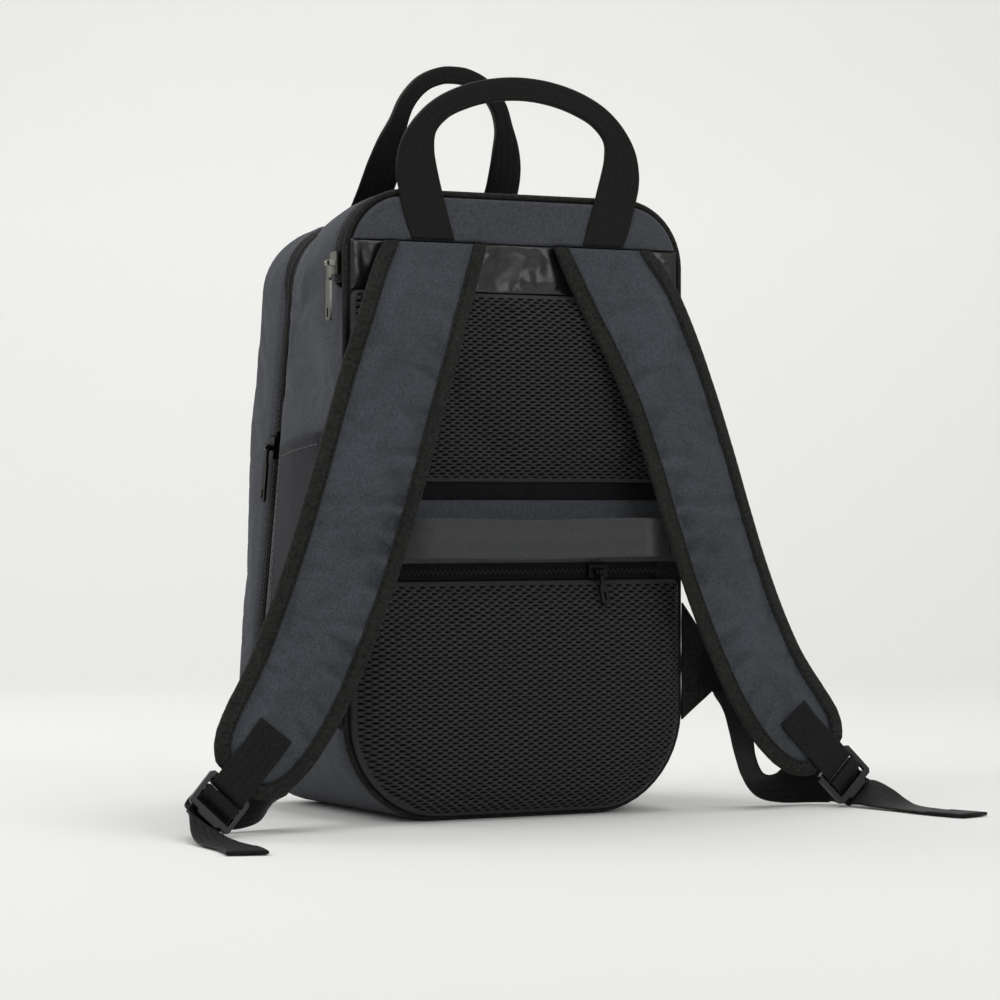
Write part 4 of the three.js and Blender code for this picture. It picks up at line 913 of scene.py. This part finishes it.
def back_pieces():
    """Piping, pads, panels and zip on the back panel."""
    piping()
    # Mesh pads: height in the middle, and the spacing of their points across and up.
    for name, shape, swell, steps, seed, node in (
            ("upper_mesh_pad", UPPER_PAD, 11.0, (0.72, 0.5), 3, "upper_back_pad"),
            ("lower_mesh_pad", LOWER_PAD, 15.0, (0.74, 0.58), 4, "lower_back_pad")):
        folds = dict(size=60.0, depth=1.4, seed=seed)
        panel(name, shape, pad_rise(swell), steps, MESH, node, folds, mesh=True)
    # Flat panels: height, spacing of their points, and folds.
    for name, shape, thick, steps, look, node, folds in (
            ("yoke_skin", YOKE, 1.9, (3.0, 1.2), CHARCOAL, "yoke_panel", dict(size=30.0, depth=0.8, seed=5)),
            ("satin_skin", SATIN_BAND, 1.2, (1.6, 0.9), SATIN_PAINTED_SHEEN, "satin_band",
             dict(size=11.0, depth=4.2, seed=6, stretch=0.6)),
            ("pad_binding_skin", PAD_BINDING, 1.7, (3.0, 0.6), TAPE_CLOTH, "pad_binding",
             dict(size=9.0, depth=0.5, seed=7)),
            ("middle_skin", MIDDLE, 1.4, (3.0, 1.5), CHARCOAL, "middle_panel",
             dict(size=25.0, depth=0.7, seed=8)),
            ("back_zip_skin", BACK_ZIP, 1.4, (3.0, 0.6), TAPE_CLOTH, "back_zip_tape", None)):
        panel(name, shape, flat_rise(thick), steps, look, node, folds)
    reach, level = BACK_ZIP["half"] - BACK_ZIP["chain_end"], (BACK_ZIP["low"] + BACK_ZIP["high"]) / 2
    line = np.array([(x, BODY["back"] - BACK_ZIP["chain_out"], level) for x in (-reach, reach)])
    chain("back_zip_chain", even(line, 50), np.tile((0.0, -1.0, 0.0), (50, 1)), high=0.7)


def back_plate():
    """The flat back itself, mostly covered by what is sewn on it."""
    ring = body_ring(0.0)
    inset = PIPING["radius"] + GAP + PIPING["radius"] * np.maximum(0, -ring[:, 3])
    rings = np.array([on_body(ring, -inset - tuck, depth) for depth, tuck in BACK_PLATE])
    piece("back_plate", rings, capped_faces(*rings.shape[:2]), BLACK_CLOTH, ["back_panel"])


def side_pocket():
    """Darker panel on the left wall, stitched along its top and front edges."""
    low, high, near, far, thick = (POCKET[key] for key in ("low", "high", "near", "far", "thick"))
    heights = np.linspace(low, high, 70)

    def layer(lift):
        cols = []
        for share in np.linspace(near, far, 40):
            drop = POCKET["slant"] * (share - near) / (far - near)
            level = heights - drop * (heights - low) / (high - low)
            ring = np.stack([0 * level - body_half(share), level, 0 * level - 1, 0 * level], 1)
            cols.append(gusset_points(ring, share, lift))
        return np.stack(cols, axis=1)

    outer, inner = layer(POCKET["lift"] + thick), layer(POCKET["lift"])
    rows, cols = outer.shape[:2]
    up, along = np.linspace(-1, 1, rows)[:, None], np.linspace(-1, 1, cols)[None, :]
    gape = POCKET["gape"] * (1 - along ** 2) * smooth(up, -0.6, 1)
    sewn = np.maximum(np.abs(along), -up + 0 * along)
    fold = rumple(outer.reshape(-1, 3), **POCKET_FOLDS).reshape(rows, cols)
    outer[..., 0] -= gape + np.maximum(fold, -POCKET["dip"]) * (1 - smooth(sewn, 0.8, 1))
    outer[..., 0] += smooth(sewn, 0.97, 1.0) * (thick - POCKET["rim"])
    inner[..., 0] -= gape
    skins = np.concatenate([outer, inner[:, ::-1]], axis=1)
    piece("side_pocket_skin", skins, slab_faces(*skins.shape[:2]), POCKET_CLOTH, ["side_pocket"])
    out = np.array([-1.0, 0.0, 0.0])
    lines = [edge + out * POCKET["thread"] for edge in (outer[-4, 2:-2], outer[2:-2, -4])]
    runs = [(line, np.tile(out, (len(line), 1))) for line in lines]
    stitches("pocket_stitches", runs, pitch=4.4, length=2.8, look=PALE_THREAD)


main_gusset()
front_shell()
wall_zips()
back_plate()
back_pieces()
side_pocket()


def both_halves(rows):
    """Both halves of a line that is given from its right end to the middle."""
    rows = np.asarray(rows, float)
    return np.vstack([rows, rows[-2::-1] * ([-1] + [1] * (rows.shape[1] - 1))])


def luggage_band():
    """Webbing band across the back, waving a little in height."""
    line = both_halves([(x, y, BAND_Z) for x, y in BAND_LINE])
    centres = even(catmull(line, np.linspace(0, 1, 400)), 160)
    count = len(centres)
    sag = 1 - np.linspace(-1, 1, count) ** 2
    centres[:, 2] += BAND_WAVE["high"] * sag * np.sin(np.linspace(0, BAND_WAVE["turn"], count))
    across = np.tile((0.0, 0.0, 1.0), (count, 1))
    verts, faces, uv, _ = strip_mesh(centres, across, BAND_HALF, BAND_THICK)
    piece("luggage_band_skin", verts, faces, BAND_WEBBING, ["luggage_band"], uv)


def grab_handle(name, line, node):
    """Webbing handle whose grip is folded lengthwise and sewn."""
    rows = even(catmull(both_halves(line), np.linspace(0, 1, 600)), HANDLE_STATIONS)
    centres, half, thick = rows[:, :3], rows[:, 3], rows[:, 4]
    run = unit(np.gradient(centres, axis=0))
    across = unit(np.cross(run, (0.0, 1.0, 0.0)))
    order = np.arange(HANDLE_STATIONS)
    level = 1 - smooth(np.minimum(order, order[::-1]), 0, HANDLE_LEVEL)[:, None]
    across = unit(across * (1 - level) + np.sign(across[:, :1]) * (1.0, 0.0, 0.0) * level)
    verts, faces, uv, face = strip_mesh(centres, across, half, thick, square=False)
    piece(name, verts, faces, WEBBING, [node], uv)
    grip = HANDLE_GRIP
    rim = centres[grip] + across[grip] * (half[grip] - GRIP_MARGIN)[:, None]
    runs = []
    for side in (1, -1):
        surface = rim + face[grip] * (thick[grip] * side * 0.99)[:, None]
        runs.append((surface, face[grip] * side))
    stitches(f"{name}_stitches", runs, pitch=4.0, length=2.8)


# The strap's frame where it is sewn in at the yoke: middle, along, across and out.
SEAM_FRAME = [np.array(row, float) for row in (STRAP_MIDDLE[0], (0, 0, -1), (1, 0, 0), (0, -1, 0))]
STRAP_SHARES = np.concatenate([np.linspace(0, 0.9, 150, endpoint=False), np.linspace(0.9, 1, 24)])


def strap_rings():
    """Middle, along, across, out, half width and half thickness of the strap at each share of its length."""
    near = strap_frame(SEAM_SHARE)
    rows = []
    for share in STRAP_SHARES:
        axes = strap_frame(share)
        if share < SEAM_SHARE:
            middle, *ways = [a + (b - a) * (share / SEAM_SHARE) for a, b in zip(SEAM_FRAME, near)]
            axes = [middle] + [unit(way) for way in ways]
        rows.append((*axes, read(STRAP_SIZES, share), read(STRAP_SIZES, share, 2)))
    return rows


STRAP_ROWS = strap_rings()


def strap_puckers(share, wide):
    """Depth of the short puckers that run in from the strap's bound edges, deepest on the inner one."""
    depths = np.zeros(len(wide))
    for edge, depth, seed in STRAP_PUCKERS:
        place = (share * STRAP_LENGTH + PUCKER["slant"] * wide) / PUCKER["size"]
        soft = [abs(noise.noise(Vector((p, w * PUCKER["stretch"], seed)))) for p, w in zip(place, wide)]
        ridge = np.maximum(1 - PUCKER["sharp"] * np.array(soft), 0)
        reach = smooth(edge * wide, -0.1, 0.75) * (1 - smooth(np.abs(wide), 0.86, 0.95))
        depths += depth * ridge ** 2 * reach
    return depths * smooth(share, 0.08, 0.2) * (1 - smooth(share, 0.86, 0.95))


def strap_creases(share, wide):
    """Depth of the sharp creases where the cloth gathers at the strap's inner edge."""
    depth = np.zeros(len(wide))
    for place, deep, reach in STRAP_CREASES:
        off = (share - place) * STRAP_LENGTH - CREASE["slant"] * (wide + 1)
        fade = 1 - smooth(wide, -CREASE["start"], reach - CREASE["start"])
        roll = CREASE["roll"] * np.exp(-((off - CREASE["apart"]) / CREASE["round"]) ** 2)
        depth += deep * fade * (np.exp(-(off / CREASE["half"]) ** 2) - roll)
    return depth * (1 - smooth(np.abs(wide), 0.88, 0.95))


def strap_pads():
    """Foam strap padding, crowned across, settled as cloth between its bound edges and then creased."""
    wide = np.linspace(-1, 1, 23)
    edge = CROWN["edge"]
    crown = edge + (1 - edge) * (1 - smooth(np.abs(wide), CROWN["full"], CROWN["fallen"]))
    rings, hold = [], []
    for share, (centre, _, across, out, half, thick) in zip(STRAP_SHARES, STRAP_ROWS):
        high = crown - (crown - edge) * CROWN["end_fall"] * smooth(share, 0.95, 1)
        raised = high * thick - strap_puckers(share, wide)
        top = [centre + across * w * half + out * h for w, h in zip(wide, raised)]
        under = [centre + across * w * half - out * h * thick for w, h in zip(wide[::-1], high[::-1])]
        rings.append(top + under)
        ends = max(1 - smooth(share, 0.0, 0.03), smooth(share, 0.95, 0.99))
        grip = np.maximum(smooth(np.abs(wide), 0.86, 0.93), ends)
        hold.append(np.concatenate([grip, grip]))
    rings = np.array(rings)
    faces = slab_faces(*rings.shape[:2])
    verts = settle(rings.reshape(-1, 3), faces, np.array(hold).ravel(), **STRAP_SETTLING).reshape(rings.shape)
    for ring, share, row in zip(verts, STRAP_SHARES, STRAP_ROWS):
        ring[:len(wide)] -= np.outer(strap_creases(share, wide), row[3])
    for obj in pair("strap_foam", verts, faces, STRAP_CLOTH, "strap_pad"):
        finer = obj.modifiers.new("finer", "SUBSURF")
        finer.levels = finer.render_levels = 1


def strap_bindings():
    """Folded tape sewn over the strap's edge, down one side, round the end and up the other."""
    end, _, end_across, end_out, end_half, _ = STRAP_ROWS[-1]
    down = [(centre - across * half, out) for centre, _, across, out, half, _ in STRAP_ROWS]
    round_end = [(end + end_across * w, end_out) for w in np.linspace(-end_half, end_half, 24)[1:-1]]
    up = [(centre + across * half, out) for centre, _, across, out, half, _ in reversed(STRAP_ROWS)]
    line, outs = (np.array(column) for column in zip(*(down + round_end + up)))
    run = unit(np.gradient(line, axis=0))
    for _ in range(4):
        run[1:-1] = unit(run[:-2] + run[1:-1] * 2 + run[2:])
    outwards = unit(np.cross(run, outs))
    seam_rows, seam_across = 12, STRAP_ROWS[0][2]
    for i in range(seam_rows):
        share = smooth(i, 0, seam_rows)
        outwards[i] = unit(outwards[i] * share - seam_across * (1 - share))
        outwards[-1 - i] = unit(outwards[-1 - i] * share + seam_across * (1 - share))
    both_sides = lambda side: side + [(w, -h) for w, h in side[-2::-1]]
    outside = catmull(both_sides(BINDING_OUTSIDE), np.linspace(0, 1, 25))
    tape = np.vstack([outside, both_sides(BINDING_INSIDE)[::-1]])
    puckers = 1 + BINDING_SEAM["pucker"] * np.sin(lengths(line) * 2 * math.pi / BINDING_SEAM["pitch"])
    rings = (line[:, None] + outwards[:, None] * tape[None, :, :1]
             + outs[:, None] * (tape[None, :, 1:] * puckers[:, None, None]))
    pair("strap_tape", rings, capped_faces(*rings.shape[:2]), BLACK_CLOTH, "strap_binding")
    sewn = slice(4, -4)
    place = line[sewn] - outwards[sewn] * BINDING_SEAM["inset"]
    runs = [(place + outs[sewn] * side * BINDING_SEAM["rise"], outs[sewn] * side) for side in (1, -1)]
    # Dark thread: real stitches, darkened to paint the shadow line along the binding's inner edge.
    stitches("strap_stitches", runs, BINDING_SEAM["pitch"], length=2.5, radius=0.36, mirror=True,
             look=DARK_THREAD_AND_PAINTED_SHADOW)


def strap_patches():
    """Webbing patch sewn on the strap's end that holds the lock."""
    flat = []
    for from_end, up in PATCH_FLAT:
        centre, tangent, _, out = strap_frame(min(1 + from_end / STRAP_LENGTH, 1.0))
        flat.append(centre + tangent * max(from_end, 0) + out * up)
    loop = [lock_point(a, up) for a, up in PATCH_LOOP]
    centres = even(catmull(flat + loop, np.linspace(0, 1, 300)), PATCH["stations"])
    _, _, lock_across, lock_out = LOCK_FRAME
    across = np.tile(lock_across, (len(centres), 1))
    verts, faces, uv, face = strip_mesh(centres, across, PATCH["half"], PATCH["thick"])
    pair("patch_skin", verts, faces, WEBBING, "strap_patch", uv)
    sewn = PATCH["sewn"]
    outs = face[sewn] * np.sign(face[sewn] @ lock_out)[:, None]
    top = centres[sewn] + outs * PATCH["thick"]
    wide = lock_across * (PATCH["half"] - PATCH["margin"])
    diagonal = np.linspace(-1, 1, len(top))[:, None] * wide
    runs = [(top + side, outs) for side in (wide, -wide, diagonal, -diagonal)]
    for row in (0, -1):
        line = top[row] + np.linspace(-1, 1, 12)[:, None] * wide
        runs.append((line, np.tile(outs[row], (12, 1))))
    stitches("patch_stitches", runs, pitch=2.9, length=2.2, radius=0.3, mirror=True)


def side_wings():
    """Cloth triangles in the side seams that take the low end of the webbing."""
    rows = []
    for t in np.linspace(0, 1, 24):
        x = WING["seam"] + (WING["tip"] - WING["seam"]) * t
        low = WING["low"] + (WING["tip_low"] - WING["low"]) * t
        high = WING["high"] + (WING["tip_high"] - WING["high"]) * t
        rows.append([(x, 0, z) for z in np.linspace(low, high, 30)])
    near = np.array(rows)
    far = near.copy()
    fold = rumple(near.reshape(-1, 3), **WING_FOLDS).reshape(near.shape[:2])
    near[..., 1] = WING["near"] + fold
    far[..., 1] = WING["far"] + fold
    skins = np.concatenate([near, far[:, ::-1]], axis=1)
    pair("wing_skin", skins, slab_faces(*skins.shape[:2]), BLACK_CLOTH, "side_wing")


def hardware(node, body, look, bevel):
    """A rounded copy of a hard piece."""
    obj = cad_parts[node].copy()
    obj.data = obj.data.copy()
    obj.name = f"{node}_skin"
    obj.data.materials.clear()
    bpy.context.collection.objects.link(obj)
    work = bmesh.new()
    work.from_mesh(obj.data)
    bmesh.ops.remove_doubles(work, verts=work.verts, dist=1e-5)
    bmesh.ops.dissolve_limit(work, angle_limit=math.radians(3), verts=work.verts, edges=work.edges)
    work.to_mesh(obj.data)
    work.free()
    rounding = obj.modifiers.new("rounding", "BEVEL")
    rounding.width = bevel * MM
    rounding.segments = 3
    rounding.limit_method = "ANGLE"
    rounding.angle_limit = math.radians(28)
    obj.data.shade_smooth()
    smoothing = obj.modifiers.new("weights", "WEIGHTED_NORMAL")
    smoothing.keep_sharp = True
    set_up(obj, look, [node], body)


luggage_band()
grab_handle("back_handle_skin", BACK_HANDLE, "back_handle")
grab_handle("front_handle_skin", FRONT_HANDLE, "front_handle")
strap_pads()
strap_bindings()
strap_patches()
side_wings()
for side_word in ("left", "right"):
    hardware(f"ladder_lock_{side_word}", BAG, PLASTIC, bevel=0.7)
for zip_word, metal in (("main", METAL), ("side", DARK_METAL), ("back", DARK_METAL)):
    hardware(f"{zip_word}_zip_slider", BAG, metal, bevel=0.5)
    hardware(f"{zip_word}_zip_puller", f"{zip_word}_puller", metal, bevel=0.4)

# Directions on the floor: away from the camera, and to its right.
AWAY = np.array([math.sin(YAW), math.cos(YAW), 0])
ASIDE = np.array([math.cos(YAW), -math.sin(YAW), 0])


def add_backdrop():
    """Pale floor that curves up into a pale wall."""
    look = Shading("backdrop", None, 0.95, specular=0.1)
    height = look.add("ShaderNodeSeparateXYZ")
    look.links.new(look.add("ShaderNodeTexCoord").outputs["Object"], height.inputs[0])
    up = look.math("DIVIDE", height.outputs[2], BACKDROP["pale_from"], clamp=True)
    look.colour(up, linear(PAPER, BACKDROP["floor_shade"]), linear(PAPER))
    wide, flat, curve = BACKDROP["wide"], BACKDROP["flat"], BACKDROP["curve"]
    turns = np.linspace(0, math.pi / 2, 16)
    bend = [(flat + curve * math.sin(t), curve * (1 - math.cos(t))) for t in turns]
    profile = [(-wide, 0.0)] + bend + [(flat + curve, BACKDROP["high"])]
    verts = [AWAY * d + ASIDE * w + (0, 0, h) for d, h in profile for w in (-wide, wide)]
    mesh = bpy.data.meshes.new("backdrop")
    mesh.from_pydata([tuple(v) for v in verts], [], grid_faces(len(profile), 2))
    mesh.shade_smooth()
    mesh.materials.append(look.material)
    backdrop = bpy.data.objects.new("backdrop", mesh)
    bpy.context.collection.objects.link(backdrop)


def add_lamps():
    """Large soft lamps and an even pale sky."""
    for name, right, back, high, aim, size, power in LAMPS:
        data = bpy.data.lights.new(name, "AREA")
        data.size = size
        data.energy = power
        lamp = bpy.data.objects.new(name, data)
        lamp.location = Vector(ASIDE * right + AWAY * back + (0, 0, high))
        target = Vector(AWAY * aim + (0, 0, LAMP_AIM_HIGH))
        lamp.rotation_euler = (target - lamp.location).to_track_quat("-Z", "Y").to_euler()
        bpy.context.collection.objects.link(lamp)
    scene = bpy.context.scene
    scene.world = bpy.data.worlds.new("studio")
    scene.world.use_nodes = True
    sky = scene.world.node_tree.nodes["Background"]
    sky.inputs["Color"].default_value = (1.0, 1.0, 0.99, 1.0)
    sky.inputs["Strength"].default_value = SKY_STRENGTH
    scene.view_settings.view_transform = "Standard"
    scene.view_settings.look = "None"


add_backdrop()
add_lamps()
